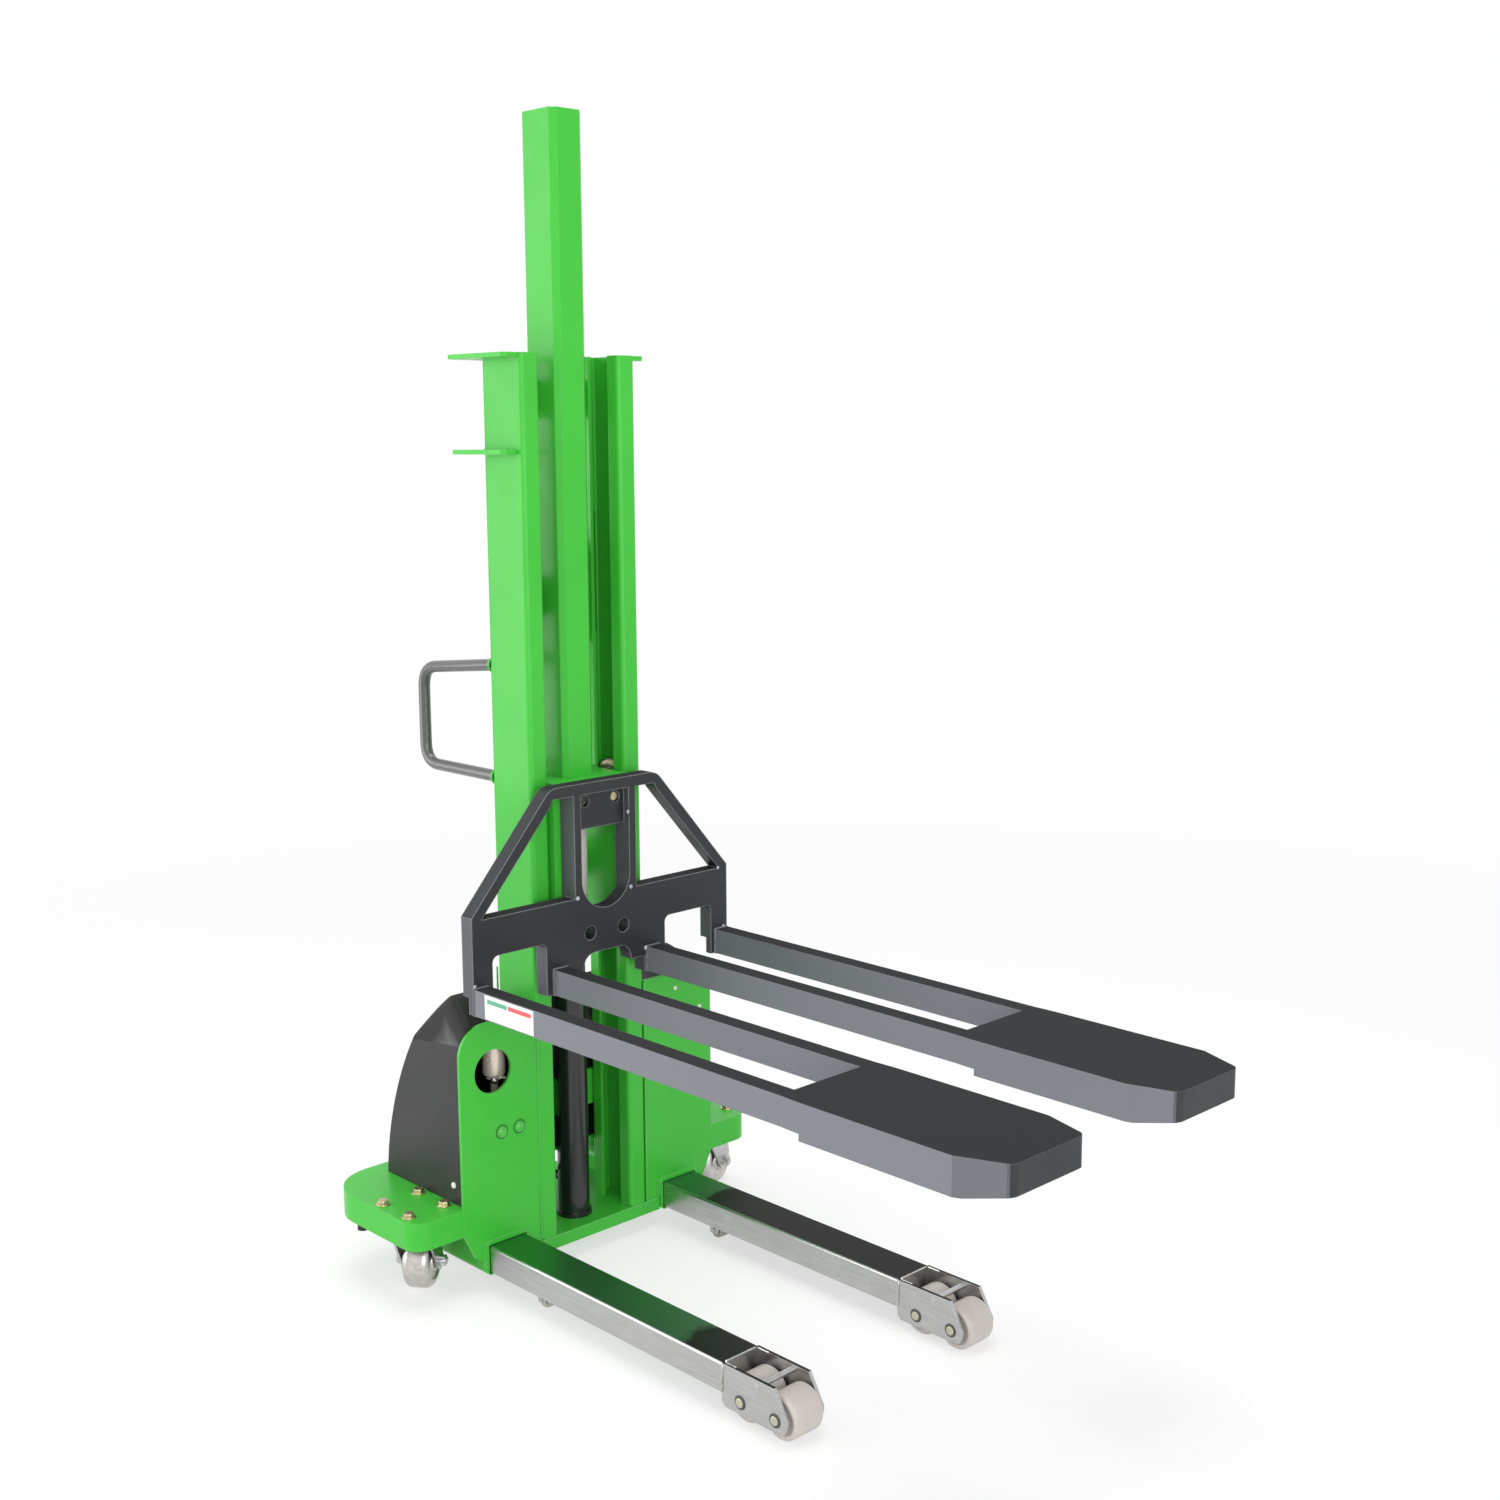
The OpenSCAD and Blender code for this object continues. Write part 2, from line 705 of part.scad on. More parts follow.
module solenoid() {
  post = hole_z - solenoid_h / 2 + 4 - deck_top;
  color(yellow_zinc) placed() translate([-solenoid_x, solenoid_back, deck_top]) {
    cylinder(h = 6, d = solenoid_d + 8);
    cylinder(h = post - solenoid_cap, d = solenoid_d / 3);
    translate([0, 0, post - solenoid_cap]) cylinder(h = solenoid_cap, d = solenoid_d - 12);
    translate([0, 0, post]) cylinder(h = solenoid_h, d = solenoid_d);
    translate([0, 0, post + solenoid_h]) cylinder(h = solenoid_cap, d = solenoid_d - 12);
  }
}

tank_size = [120, 160, 190];
tank_wall = 4;
tank_x = cover_half_w - 21 - tank_size[0];
tank_back = 30;

module oil_tank() {
  wall = [tank_wall, tank_wall, tank_wall];
  color(black) placed() translate([tank_x, tank_back, deck_top]) {
    difference() {
      cube(tank_size);
      translate(wall) cube(tank_size - 2 * wall);
    }
    translate([tank_size[0] / 2, tank_size[1] / 2, tank_size[2]]) cylinder(h = 14, d = 34);
  }
}

battery_size = [236, 86, 150];
battery_gap = 14;
post_h = 12;
post_d = 16;

module battery() {
  color([0.25, 0.26, 0.30]) placed() translate([-battery_size[0] / 2, mast_depth + tie_t + battery_gap, deck_top]) {
    cube(battery_size);
    for (x = [0.12, 0.88]) translate([x * battery_size[0], battery_size[1] / 2, battery_size[2]])
      cylinder(h = post_h, d = post_d);
  }
}

// A quarter bend of the oil line about a point, from angle a, in the plane turned by the rotation
module hose_elbow(at, turn, a) {
  translate(at) rotate(turn) rotate([0, 0, a]) rotate_extrude(angle = 90, $fn = 64)
    translate([hose_bend, 0]) circle(d = hose_d);
}

// The line leaves the cylinder rearwards, turns to the left and rises through the deck to the pump
module pressure_hose() {
  color(black) placed() {
    bar_y(port_back, pump_back - hose_bend, 0, port_z, hose_d);
    hose_elbow([-hose_bend, pump_back - hose_bend, port_z], [0, 0, 0], 0);
    bar_x(hose_bend - pump_x, -hose_bend, pump_back, port_z, hose_d);
    hose_elbow([hose_bend - pump_x, pump_back, port_z + hose_bend], [90, 0, 0], 180);
    translate([-pump_x, pump_back, port_z + hose_bend]) cylinder(h = deck_top - port_z - hose_bend, d = hose_d);
  }
}

grip_r = 38;
grip_sides = 14;

// One grip: a tube swept along its side view, square to the back of the mast at both ends
module handle_loop(x) {
  top_end = handle_high - handle_fall;
  tilt = atan2(handle_fall, handle_reach);
  path = concat(
    [[mast_depth, handle_low]],
    arc([handle_back - grip_r, handle_low + grip_r], grip_r, -90, 0),
    arc([handle_back - grip_r, top_end - grip_r], grip_r, 0, 90 - tilt),
    [[mast_depth, handle_high]]);
  n = grip_sides;
  m = len(path);
  function heading(i) = i == m - 1 ? 180 : let (a = path[max(i - 1, 0)], b = path[i + 1])
    atan2(b[1] - a[1], b[0] - a[0]);
  rings = [for (i = [0:m - 1]) for (k = [0:n - 1]) let (
    t = i == 0 ? 0 : heading(i),
    u = handle_d / 2 * cos(360 * k / n),
    v = handle_d / 2 * sin(360 * k / n))
    [x + u, path[i][0] - v * sin(t), path[i][1] + v * cos(t)]];
  sides = [for (i = [0:m - 2]) for (k = [0:n - 1]) for (half = [0, 1]) half == 0
    ? [i * n + k, i * n + (k + 1) % n, (i + 1) * n + (k + 1) % n]
    : [i * n + k, (i + 1) * n + (k + 1) % n, (i + 1) * n + k]];
  caps = [[for (k = [n - 1:-1:0]) k], [for (k = [0:n - 1]) (m - 1) * n + k]];
  polyhedron(points = rings, faces = concat(sides, caps), convexity = 4);
}

module handles() {
  color(black) placed() for (side = [-1, 1]) handle_loop(side * handle_x);
}

button_x = 34;
button_row = box_z + 62;
stop_row = box_z + 138;

module control_box() {
  color(black) placed() difference() {
    block([-box_w / 2, mast_depth + tie_t, box_z], [box_w / 2, box_back, box_z + box_h]);
    block([-box_w / 2 + 4, mast_depth + tie_t + 4, box_z + 4], [box_w / 2 - 4, box_back - 4, box_z + box_h - 4]);
    for (x = [-1, 1]) bar_y(box_back - 6, box_back + lap, x * button_x, button_row, 24 + 2 * button_gap);
    bar_y(box_back - 6, box_back + lap, -button_x, stop_row, 16 + 2 * button_gap);
    bar_y(box_back - 6, box_back + lap, button_x, stop_row, 18 + 2 * running);
  }
}

module push_button(x) {
  bar_y(box_back - 14, box_back + button_travel + 3, x, button_row, 24);
  bar_y(box_back - 17, box_back - 14, x, button_row, 30);
}

module raise_button() {
  color(green) placed() push_button(button_x);
}

module lower_button() {
  color(black) placed() push_button(-button_x);
}

module emergency_button() {
  color("red") placed() {
    bar_y(box_back - 16, box_back + 8, -button_x, stop_row, 16);
    bar_y(box_back + 8, box_back + 22, -button_x, stop_row, 40);
    bar_y(box_back - 20, box_back - 16, -button_x, stop_row, 24);
  }
}

module key_switch() {
  color(zinc) placed() {
    bar_y(box_back - 14, box_back + 6, button_x, stop_row, 18);
    block([button_x - 1.5, box_back + 6, stop_row - 10], [button_x + 1.5, box_back + 34, stop_row + 10]);
  }
}

module rubber_stops() {
  color(black) placed() for (side = [-1, 1]) {
    translate([side * (bracket_half_w - 16), chassis_depth - 100, deck_top - skirt_h - 15])
      cylinder(h = skirt_h - deck_t + 15, d = 20);
  }
}

module limit_switch() {
  color(black) placed() {
    block([slot_x - 9, mast_depth, slot_z - 8], [slot_x + 9, mast_depth + 22, slot_z + slot_h + 8]);
  }
}

module leg_clamp(side) {
  color(zinc) placed() translate([side * leg_x, clamp_back, 0]) {
    translate([0, 0, leg_top + clamp_play]) cylinder(h = sleeve_top + 26 - leg_top - clamp_play, d = clamp_d);
    bar_x(-26, 26, 0, sleeve_top + 26, 9);
  }
}

caster_plate = [46, 52];

module caster_plates() {
  color(zinc) placed() for (side = [-1, 1]) translate([side * caster_x, caster_back, 0]) difference() {
    union() {
      block([-caster_plate[0], -caster_plate[1], deck_under - plate_gap], [caster_plate[0], caster_plate[1], deck_under]);
      translate([0, 0, deck_under - plate_gap - race_h]) cylinder(h = race_h, d = 62);
    }
    for (x = [-1, 1], y = [-1, 1]) {
      translate([x * caster_bolt_x / 2, y * caster_bolt_y / 2, deck_under - plate_gap - lap])
        cylinder(h = plate_gap + 2 * lap, d = 11);
    }
    translate([0, 0, deck_under - plate_gap - race_h - lap]) cylinder(h = king_h + 2 * lap, d = king_d + 2 * running);
  }
}

yoke_top = deck_under - plate_gap - race_h - swivel_gap;
caster_axle_d = 12;

// The swivel yoke, drawn with its trail along +x and its swivel axis at the origin
module yoke_shape() {
  side_in = caster_w / 2 + 6;
  translate([0, 0, yoke_top - 6]) cylinder(h = 6, d = 78);
  translate([0, 0, yoke_top]) cylinder(h = king_h, d = king_d);
  for (s = [-1, 1]) translate([0, s * (side_in + 2) + 2, 0]) rotate([90, 0, 0]) linear_extrude(4)
    polygon(concat(
      [[-26, yoke_top - 6], [-18, yoke_top - 30]],
      arc([caster_trail, caster_r], 17, 200, 380),
      [[26, yoke_top - 6]]));
  translate([caster_trail, -side_in - 16, caster_r]) rotate([-90, 0, 0])
    cylinder(h = 2 * side_in + 32, d = caster_axle_d);
  for (s = [-1, 1]) translate([caster_trail, s * (side_in + 9) - 5, caster_r]) rotate([-90, 0, 0])
    cylinder(h = 10, d = 20, $fn = 6);
}

module caster_yoke(side) {
  turn = side < 0 ? caster_turn_left : caster_turn_right;
  color(zinc) placed() translate([side * caster_x, caster_back, 0]) rotate([0, 0, turn]) yoke_shape();
}

module caster_wheel(side) {
  turn = side < 0 ? caster_turn_left : caster_turn_right;
  h = caster_w / 2;
  color([0.62, 0.60, 0.58]) placed() translate([side * caster_x, caster_back, 0]) rotate([0, 0, turn])
    translate([caster_trail, 0, caster_r]) rotate([90, 0, 0]) rotate_extrude($fn = 72)
      polygon(concat(
        [[caster_axle_d / 2 + running, -h - 2], [20, -h - 2], [22, -h + 4], [34, -h + 4]],
        arc([caster_r - tread_r, -h + tread_r], tread_r, -90, 0, 5),
        arc([caster_r - tread_r, h - tread_r], tread_r, 0, 90, 5),
        [[34, h - 4], [22, h - 4], [20, h + 2], [caster_axle_d / 2 + running, h + 2]]));
}

crown_r = 34;
crown_run = [fork_half_w - crown_half, carriage_top - crown_r - shoulder_z];
crown_turn = atan2(crown_run[0], crown_run[1]) - asin(crown_r / norm(crown_run));

// Half of the outline of the carriage frame, as x and height
function half_outline() = concat(
  [[fork_half_w, rail_bottom + 30], [fork_half_w, shoulder_z]],
  arc([crown_half, carriage_top - crown_r], crown_r, crown_turn, 90, 6));

function mirrored_points(pts) = [for (i = [len(pts) - 1:-1:0]) [-pts[i][0], pts[i][1]]];

module carriage_outline() {
  pts = half_outline();
  polygon(concat(pts, mirrored_points(pts)));
}

// The open triangle beside an inner upright
module side_opening() {
  x0 = upright_x + upright_w / 2;
  x1 = fork_half_w - bar_w;
  z1 = carriage_top - bar_w;
  polygon([[x0, shoulder_z - 5], [x1, shoulder_z - 5], [crown_half + 15, z1 - 10], [crown_half + 11, z1], [x0, z1]]);
}

window_half = upright_x - upright_w / 2;
window_mid = fork_top + window_rise + window_half;

module carriage_frame() {
  front = -carriage_front;
  back = front + carriage_t;
  color(graphite) placed() difference() {
    union() {
      front_view(front, back) difference() {
        carriage_outline();
        for (side = [-1, 1]) mirrored(side) {
          side_opening();
          polygon(concat(
            [[centre_half, rail_bottom - lap], [fork_half_w - bar_w - 21, rail_bottom - lap]],
            arc([fork_half_w - bar_w - 33, band_z - 12], 12, 0, 90, 4),
            arc([centre_half + 12, band_z - 12], 12, 90, 180, 4)));
        }
        translate([-window_half, window_mid]) square([2 * window_half, carriage_top - bar_w - window_mid]);
        translate([0, window_mid]) circle(r = window_half, $fn = 64);
      }
      for (side = [-1, 1]) mirrored(side) {
        block([fork_half_w - bar_w - 21, front, rail_bottom], [fork_half_w, front + foot_t, rail_bottom + 32]);
        block([fork_gap_half - 4, front, rail_bottom], [centre_half, back, rail_bottom + 32]);
        block([upright_x - upright_w / 2, back - lap, band_z + 4],
              [upright_x + upright_w / 2, -lap * 10, carriage_top - bar_w]);
      }
      block([-window_half, front + 14, carriage_top - bar_w - 66], [window_half, front + 24, carriage_top - bar_w + lap]);
    }
    for (side = [-1, 1]) {
      bar_y(front - lap, back + lap, side * low_hole_x, fork_top + low_hole_rise, 26);
      bar_y(front - lap, back + lap, side * high_hole_x, fork_top + high_hole_rise, 20);
    }
    front_view(front - lap, back + lap) polygon(concat(
      [[arch_half_w, rail_bottom - lap]], arc([arch_half_w - arch_r, fork_top - 13], arch_r, 0, 90, 5),
      arc([arch_r - arch_half_w, fork_top - 13], arch_r, 90, 180, 5), [[-arch_half_w, rail_bottom - lap]]));
  }
}

frame_back = mast_mid + plate_reach;

module lift_frame() {
  color(green) placed() {
    difference() {
      for (side = [-1, 1]) mirrored(side) {
        side_view(plate_in, plate_out)
          polygon(round_rect([-10, lift_frame_z], [frame_back, bridge_z], 12));
      }
      for (z = [upper_roller_z, lower_roller_z]) bar_x(-mast_half, mast_half, mast_mid, z, pin_d);
    }
    difference() {
      block([-plate_out, -carriage_front + carriage_t, bridge_z], [plate_out, frame_back, column_foot]);
      translate([0, cylinder_back, bridge_z - lap]) cylinder(h = bridge_t + 2 * lap, d = cylinder_d + 4, $fn = 96);
    }
    for (side = [-1, 1], z = [upper_roller_z, lower_roller_z]) mirrored(side) {
      bar_x(plate_in, roller_x + roller_w / 2 + 1, mast_mid, z, pin_d);
      bar_x(plate_out, roller_x - roller_w / 2 - pass, mast_mid, z, pin_d + 10);
    }
  }
}

module column_section(inset) {
  x = column_w / 2 - inset;
  y = column_depth / 2 - inset;
  b = column_bevel - inset / 2;
  polygon([[x, -y + b], [x, y - b], [x - b, y], [-x + b, y], [-x, y - b], [-x, -y + b], [-x + b, -y], [x - b, -y]]);
}

cap_t = 8;
stud_d = 10;
stud_h = 10;
nut_h = 8;

module lift_column() {
  color(green) placed() translate([0, cylinder_back, 0]) difference() {
    translate([0, 0, column_foot]) linear_extrude(column_top - column_foot) column_section(0);
    translate([0, 0, column_foot - lap]) linear_extrude(column_top - column_foot - cap_t + lap) column_section(column_wall);
    translate([0, 0, column_top - cap_t - lap]) cylinder(h = cap_t + 2 * lap, d = stud_d);
  }
}

ram_foot = 620;

module lift_ram() {
  color(zinc) placed() translate([0, cylinder_back, 0]) {
    translate([0, 0, ram_foot]) cylinder(h = column_top - cap_t - ram_foot, d = ram_d, $fn = 96);
    translate([0, 0, column_top - cap_t]) cylinder(h = cap_t + stud_h, d = stud_d);
  }
}

module ram_nut() {
  color(zinc) placed() translate([0, cylinder_back, column_top]) difference() {
    cylinder(h = nut_h, d = 18, $fn = 6);
    translate([0, 0, -lap]) cylinder(h = nut_h + 2 * lap, d = stud_d);
  }
}

sleeve_d = 76;

module guide_sleeve() {
  color(zinc) placed() translate([0, cylinder_back, 0]) difference() {
    translate([0, 0, band_z + 6]) cylinder(h = bridge_z - band_z - 6, d = sleeve_d, $fn = 96);
    translate([0, 0, band_z]) cylinder(h = bridge_z - band_z + lap, d = cylinder_d + 6, $fn = 96);
  }
}

// Plan of a fork toe: x and distance in front of the chassis
module toe_plan(inset) {
  xi = fork_gap_half - toe_flare + inset;
  xo = fork_half_w + toe_flare - inset;
  f0 = toe_start + inset;
  f1 = fork_tip - toe_taper;
  f2 = fork_tip - inset;
  polygon(concat(
    [[xi + toe_flare, f0], [xo - toe_flare, f0], [xo, f0 + 40], [xo, f1]],
    arc([xo - toe_draw_out - 12, f2 - 14], 14, 20, 90, 4),
    arc([xi + toe_draw_in + 12, f2 - 14], 14, 90, 160, 4),
    [[xi, f1], [xi, f0 + 40]]));
}

module fork(side) {
  color(graphite) placed() mirrored(side) {
    for (x = [fork_gap_half, fork_half_w - rail_w]) difference() {
      block([x, -toe_start - 2, rail_bottom], [x + rail_w, -carriage_front, fork_top]);
      block([x + 5, -toe_start - 3, rail_bottom + 5], [x + rail_w - 5, -carriage_front + lap, fork_top - 5]);
    }
    difference() {
      mirror([0, 1, 0]) translate([0, 0, fork_top - toe_h]) linear_extrude(toe_h) toe_plan(0);
      mirror([0, 1, 0]) translate([0, 0, fork_top - toe_h - lap]) linear_extrude(toe_h - toe_wall + lap) toe_plan(toe_wall);
      side_view(0, fork_half_w + 20) polygon([
        [-fork_tip - lap, fork_top - toe_h - lap], [-fork_tip + 66, fork_top - toe_h - lap],
        [-fork_tip + 66, fork_top - toe_h], [-fork_tip - lap, fork_top - toe_h + toe_rise]]);
      block([fork_gap_half - 10, -toe_start - 42, fork_top - toe_h - lap], [fork_half_w + 10, -toe_start + lap, rail_bottom]);
    }
  }
}

module mast_roller(side, z) {
  h = roller_w / 2;
  r = roller_d / 2;
  color([0.74, 0.70, 0.52]) placed() translate([side * roller_x, mast_mid, z]) rotate([0, 90, 0])
    rotate_extrude($fn = 72)
      polygon([[pin_d / 2 + running, -h], [r - 3, -h], [r, -h + 3], [r, h - 3], [r - 3, h], [pin_d / 2 + running, h]]);
}

mid_z = mid_d / 2 + 2;
mid_axle_d = 8;

module leg_body(side) {
  tube_in = leg_w / 2 - leg_wall;
  ear = mid_w / 2 + 1.5;
  color(zinc) placed() translate([side * leg_x, 0, 0]) {
    difference() {
      front_view(-leg_front, leg_back)
        polygon(round_rect([-leg_w / 2, leg_z], [leg_w / 2, leg_top], leg_r));
      block([-tube_in, -leg_front + 6, leg_z + leg_wall], [tube_in, leg_back + lap, leg_top - leg_wall]);
    }
    for (s = [-1, 1]) difference() {
      side_view(s > 0 ? leg_w / 2 - wheel_plate_t : -leg_w / 2, s > 0 ? leg_w / 2 : -leg_w / 2 + wheel_plate_t)
        polygon(concat(
          [[-leg_front, leg_top], [-leg_front, leg_z - 12], [-leg_front - 8, load_r - plate_drop]],
          [[-front_axle - 8, load_r - plate_drop]],
          arc([-front_axle, load_r], nose_r, 230, 170, 6),
          [[-front_axle + 2, leg_top]]));
      for (a = [rear_axle, front_axle]) bar_x(-leg_w, leg_w, -a, load_r, load_axle_d);
      bar_x(-leg_w, leg_w, -(rear_axle + load_pitch / 2), leg_top - 10, rod_d);
    }
    for (s = [-1, 1]) side_view(s * (ear + 1.5) - 1.5, s * (ear + 1.5) + 1.5)
      polygon([
        [-mid_front - 16, leg_z], [-mid_front - 9, mid_z - 7], [-mid_front + 9, mid_z - 7], [-mid_front + 16, leg_z]]);
    bar_x(-ear - 5, ear + 5, -mid_front, mid_z, mid_axle_d);
  }
}

module leg_axles(side) {
  out = leg_w / 2;
  color(yellow_zinc) placed() translate([side * leg_x, 0, 0]) {
    for (a = [rear_axle, front_axle]) {
      bar_x(-out, out, -a, load_r, load_axle_d);
      for (s = [-1, 1]) {
        bar_x(s * (out + 1) - 1, s * (out + 1) + 1, -a, load_r, 24);
        bar_x(s * (out + 3) - 1, s * (out + 3) + 1, -a, load_r, load_axle_d);
      }
    }
    bar_x(-out, out, -(rear_axle + load_pitch / 2), leg_top - 10, rod_d);
  }
}

module load_wheel(side, front) {
  h = load_w / 2;
  color(nylon) placed() translate([side * leg_x, -front, load_r]) rotate([0, 90, 0]) rotate_extrude($fn = 72)
    polygon(concat(
      [[load_axle_d / 2 + running, -h]],
      [[16, -h], [18, -h + 2], [26, -h + 2], [28, -h]],
      arc([load_r - 5, -h + 5], 5, -90, 0, 4),
      arc([load_r - 5, h - 5], 5, 0, 90, 4),
      [[28, h], [26, h - 2], [18, h - 2], [16, h], [load_axle_d / 2 + running, h]]));
}

module mid_roller(side) {
  h = mid_w / 2;
  r = mid_d / 2;
  bore = mid_axle_d / 2 + running;
  color(nylon) placed() translate([side * leg_x, -mid_front, mid_z]) rotate([0, 90, 0]) rotate_extrude()
    polygon([[bore, -h], [r - 2, -h], [r, -h + 2], [r, h - 2], [r - 2, h], [bore, h]]);
}

base_plate();
leg_sleeve(-1);  // leg_sleeve_left
leg_sleeve(1);  // leg_sleeve_right
front_panel(-1);  // front_panel_left
front_panel(1);  // front_panel_right
power_deck();
caster_bracket(-1);  // caster_bracket_left
caster_bracket(1);  // caster_bracket_right
mast_channel(-1);  // mast_channel_left
mast_channel(1);  // mast_channel_right
mast_plates();
mast_ties();
lift_cylinder();
rear_cover();
cover_screws();
panel_bolts();
caster_bolts();
pump_motor();
pump_block();
oil_tank();
battery();
solenoid();
pressure_hose();
handles();
control_box();
raise_button();
lower_button();
emergency_button();
key_switch();
rubber_stops();
limit_switch();
leg_clamp(-1);  // leg_clamp_left
leg_clamp(1);  // leg_clamp_right
caster_plates();
caster_yoke(-1);  // caster_yoke_left
caster_yoke(1);  // caster_yoke_right
caster_wheel(-1);  // caster_wheel_left
caster_wheel(1);  // caster_wheel_right
carriage_frame();
lift_frame();
lift_column();
lift_ram();
ram_nut();
guide_sleeve();
fork(-1);  // fork_left
fork(1);  // fork_right
mast_roller(-1, upper_roller_z);  // mast_roller_upper_left
mast_roller(1, upper_roller_z);  // mast_roller_upper_right
mast_roller(-1, lower_roller_z);  // mast_roller_lower_left
mast_roller(1, lower_roller_z);  // mast_roller_lower_right
leg_body(-1);  // leg_left
leg_body(1);  // leg_right
load_wheel(-1, front_axle);  // load_wheel_left_front
load_wheel(-1, rear_axle);  // load_wheel_left_rear
load_wheel(1, front_axle);  // load_wheel_right_front
load_wheel(1, rear_axle);  // load_wheel_right_rear
leg_axles(-1);  // leg_axles_left
leg_axles(1);  // leg_axles_right
mid_roller(-1);  // mid_roller_left
mid_roller(1);  // mid_roller_right
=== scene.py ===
# %% [markdown]
# # A self-loading stacker, dressed for its picture
# This truck lifts a pallet and can pull its own legs up after it. The solid model, packed beforehand,
# gives every part its place. Here we only add what the eye looks for: paint, zinc, nylon, weld beads,
# rounded bolts and a moulded cover. Everything below is in metres and shares the solid model's axes.

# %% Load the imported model
import bpy
import bmesh
import math
import numpy as np
from mathutils import Matrix


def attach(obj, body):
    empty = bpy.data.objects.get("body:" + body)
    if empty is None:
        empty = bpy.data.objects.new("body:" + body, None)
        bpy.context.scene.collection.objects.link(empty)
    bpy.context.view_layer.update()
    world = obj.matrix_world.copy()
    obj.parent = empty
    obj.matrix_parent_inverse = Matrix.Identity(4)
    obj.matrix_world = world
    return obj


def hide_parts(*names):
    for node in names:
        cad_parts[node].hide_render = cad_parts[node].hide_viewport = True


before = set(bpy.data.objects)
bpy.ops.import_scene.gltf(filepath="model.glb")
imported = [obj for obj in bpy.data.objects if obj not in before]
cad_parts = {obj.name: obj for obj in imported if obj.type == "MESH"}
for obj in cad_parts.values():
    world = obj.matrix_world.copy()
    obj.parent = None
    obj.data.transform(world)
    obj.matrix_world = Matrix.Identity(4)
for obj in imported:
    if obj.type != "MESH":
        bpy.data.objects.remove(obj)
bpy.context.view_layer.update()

# %% [markdown]
# ## Millimetres of the drawing
# The truck was drawn in millimetres from the front face of its chassis. One small shift brings such a
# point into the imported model's frame, so the numbers below can be compared with a tape measure.

# %% From drawing to frame
MM = 0.001
SHIFT = np.array([-16.4088316, 422.0, 0.0])


def numbers(values):
    """The values as an array of floats."""
    return np.asarray(values, dtype=float)


def placed(points):
    """Points of the drawing in millimetres, moved by SHIFT and scaled to metres."""
    return (numbers(points) + SHIFT) * MM


SIDES = (("left", -1), ("right", 1))
X_AXIS, Y_AXIS, Z_AXIS, FORWARD = (1, 0, 0), (0, 1, 0), (0, 0, 1), (0, -1, 0)
print("front face of the chassis lies at y =", placed([0, 0, 0])[1])

# %% [markdown]
# ## Camera
# The picture was taken by a standing person, from the left front, a little above the truck's middle.
# Azimuth, height and roll were solved from the photograph's straight edges. A camera matrix is built
# from three unit vectors: right, up and back.

# %% Camera
AZIMUTH, ELEVATION, ROLL = math.radians(-44.19), math.radians(9.44), math.radians(-0.28)
ca, sa, ce, se = math.cos(AZIMUTH), math.sin(AZIMUTH), math.cos(ELEVATION), math.sin(ELEVATION)
back = np.array([sa * ce, -ca * ce, se])
level = np.array([ca, sa, 0.0])
rise = np.cross(back, level)
right = math.cos(ROLL) * level + math.sin(ROLL) * rise
up = math.cos(ROLL) * rise - math.sin(ROLL) * level

camera = bpy.data.cameras.new("camera")
FOCAL_PIXELS, PICTURE_PIXELS = 1876.0, 1500.0
camera.sensor_width = 36.0
camera.lens = FOCAL_PIXELS / PICTURE_PIXELS * camera.sensor_width
camera.clip_end = 200.0
camera_object = bpy.data.objects.new("camera", camera)
bpy.context.scene.collection.objects.link(camera_object)
pose = np.eye(4)
pose[:3] = np.stack([right, up, back, placed([-2126, -2612, 1518])], axis=-1)
camera_object.matrix_world = Matrix(pose.tolist())
bpy.context.scene.camera = camera_object
print("camera stands at", np.round(pose[:3, 3], 3))

# %% [markdown]
# ## Surfaces as grids
# Nearly every new piece is a grid of points that wraps round on itself in one or two directions.
# One function joins such grids into a mesh. Doubled points are merged, so poles and seams close,
# and the normals are turned outwards.

# %% Grid helpers
def quads(rows, columns, wrap_rows, wrap_columns, first):
    """Faces of a grid: each face joins point (i, j) with its next row and its next column."""
    i = np.arange(rows if wrap_rows else rows - 1)
    j = np.arange(columns if wrap_columns else columns - 1)
    i, j = np.meshgrid(i, j, indexing="ij")
    i2, j2 = (i + 1) % rows, (j + 1) % columns
    ring = np.stack([i * columns + j, i * columns + j2, i2 * columns + j2, i2 * columns + j], axis=-1)
    return first + ring.reshape(-1, 4)


def make_piece(name, grids, material, body, replaces=(), sharp=35.0):
    """A mesh object from grids of drawing points; each grid is (points, wrap_rows, wrap_columns), and a
    fourth entry may say which faces are kept."""
    points, faces, first = [], [], 0
    for grid, wrap_rows, wrap_columns, *kept in grids:
        rows, columns = grid.shape[:2]
        points.append(placed(grid.reshape(-1, 3)))
        ring = quads(rows, columns, wrap_rows, wrap_columns, first)
        faces.append(ring[kept[0].reshape(-1)] if kept else ring)
        first += rows * columns
    mesh = bpy.data.meshes.new(name)
    mesh.from_pydata(np.concatenate(points).tolist(), [], np.concatenate(faces).tolist())
    work = bmesh.new()
    work.from_mesh(mesh)
    bmesh.ops.remove_doubles(work, verts=work.verts, dist=2e-6)
    bmesh.ops.dissolve_degenerate(work, edges=work.edges, dist=1e-6)
    bmesh.ops.recalc_face_normals(work, faces=work.faces)
    work.to_mesh(mesh)
    work.free()
    mesh.shade_smooth()
    mesh.set_sharp_from_angle(angle=math.radians(sharp))
    mesh.materials.append(material)
    piece = bpy.data.objects.new(name, mesh)
    bpy.context.scene.collection.objects.link(piece)
    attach(piece, body)
    if replaces:
        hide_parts(*replaces)
    return piece


def unit(v):
    """A vector divided by its length."""
    v = numbers(v)
    return v / np.linalg.norm(v, axis=-1, keepdims=True)


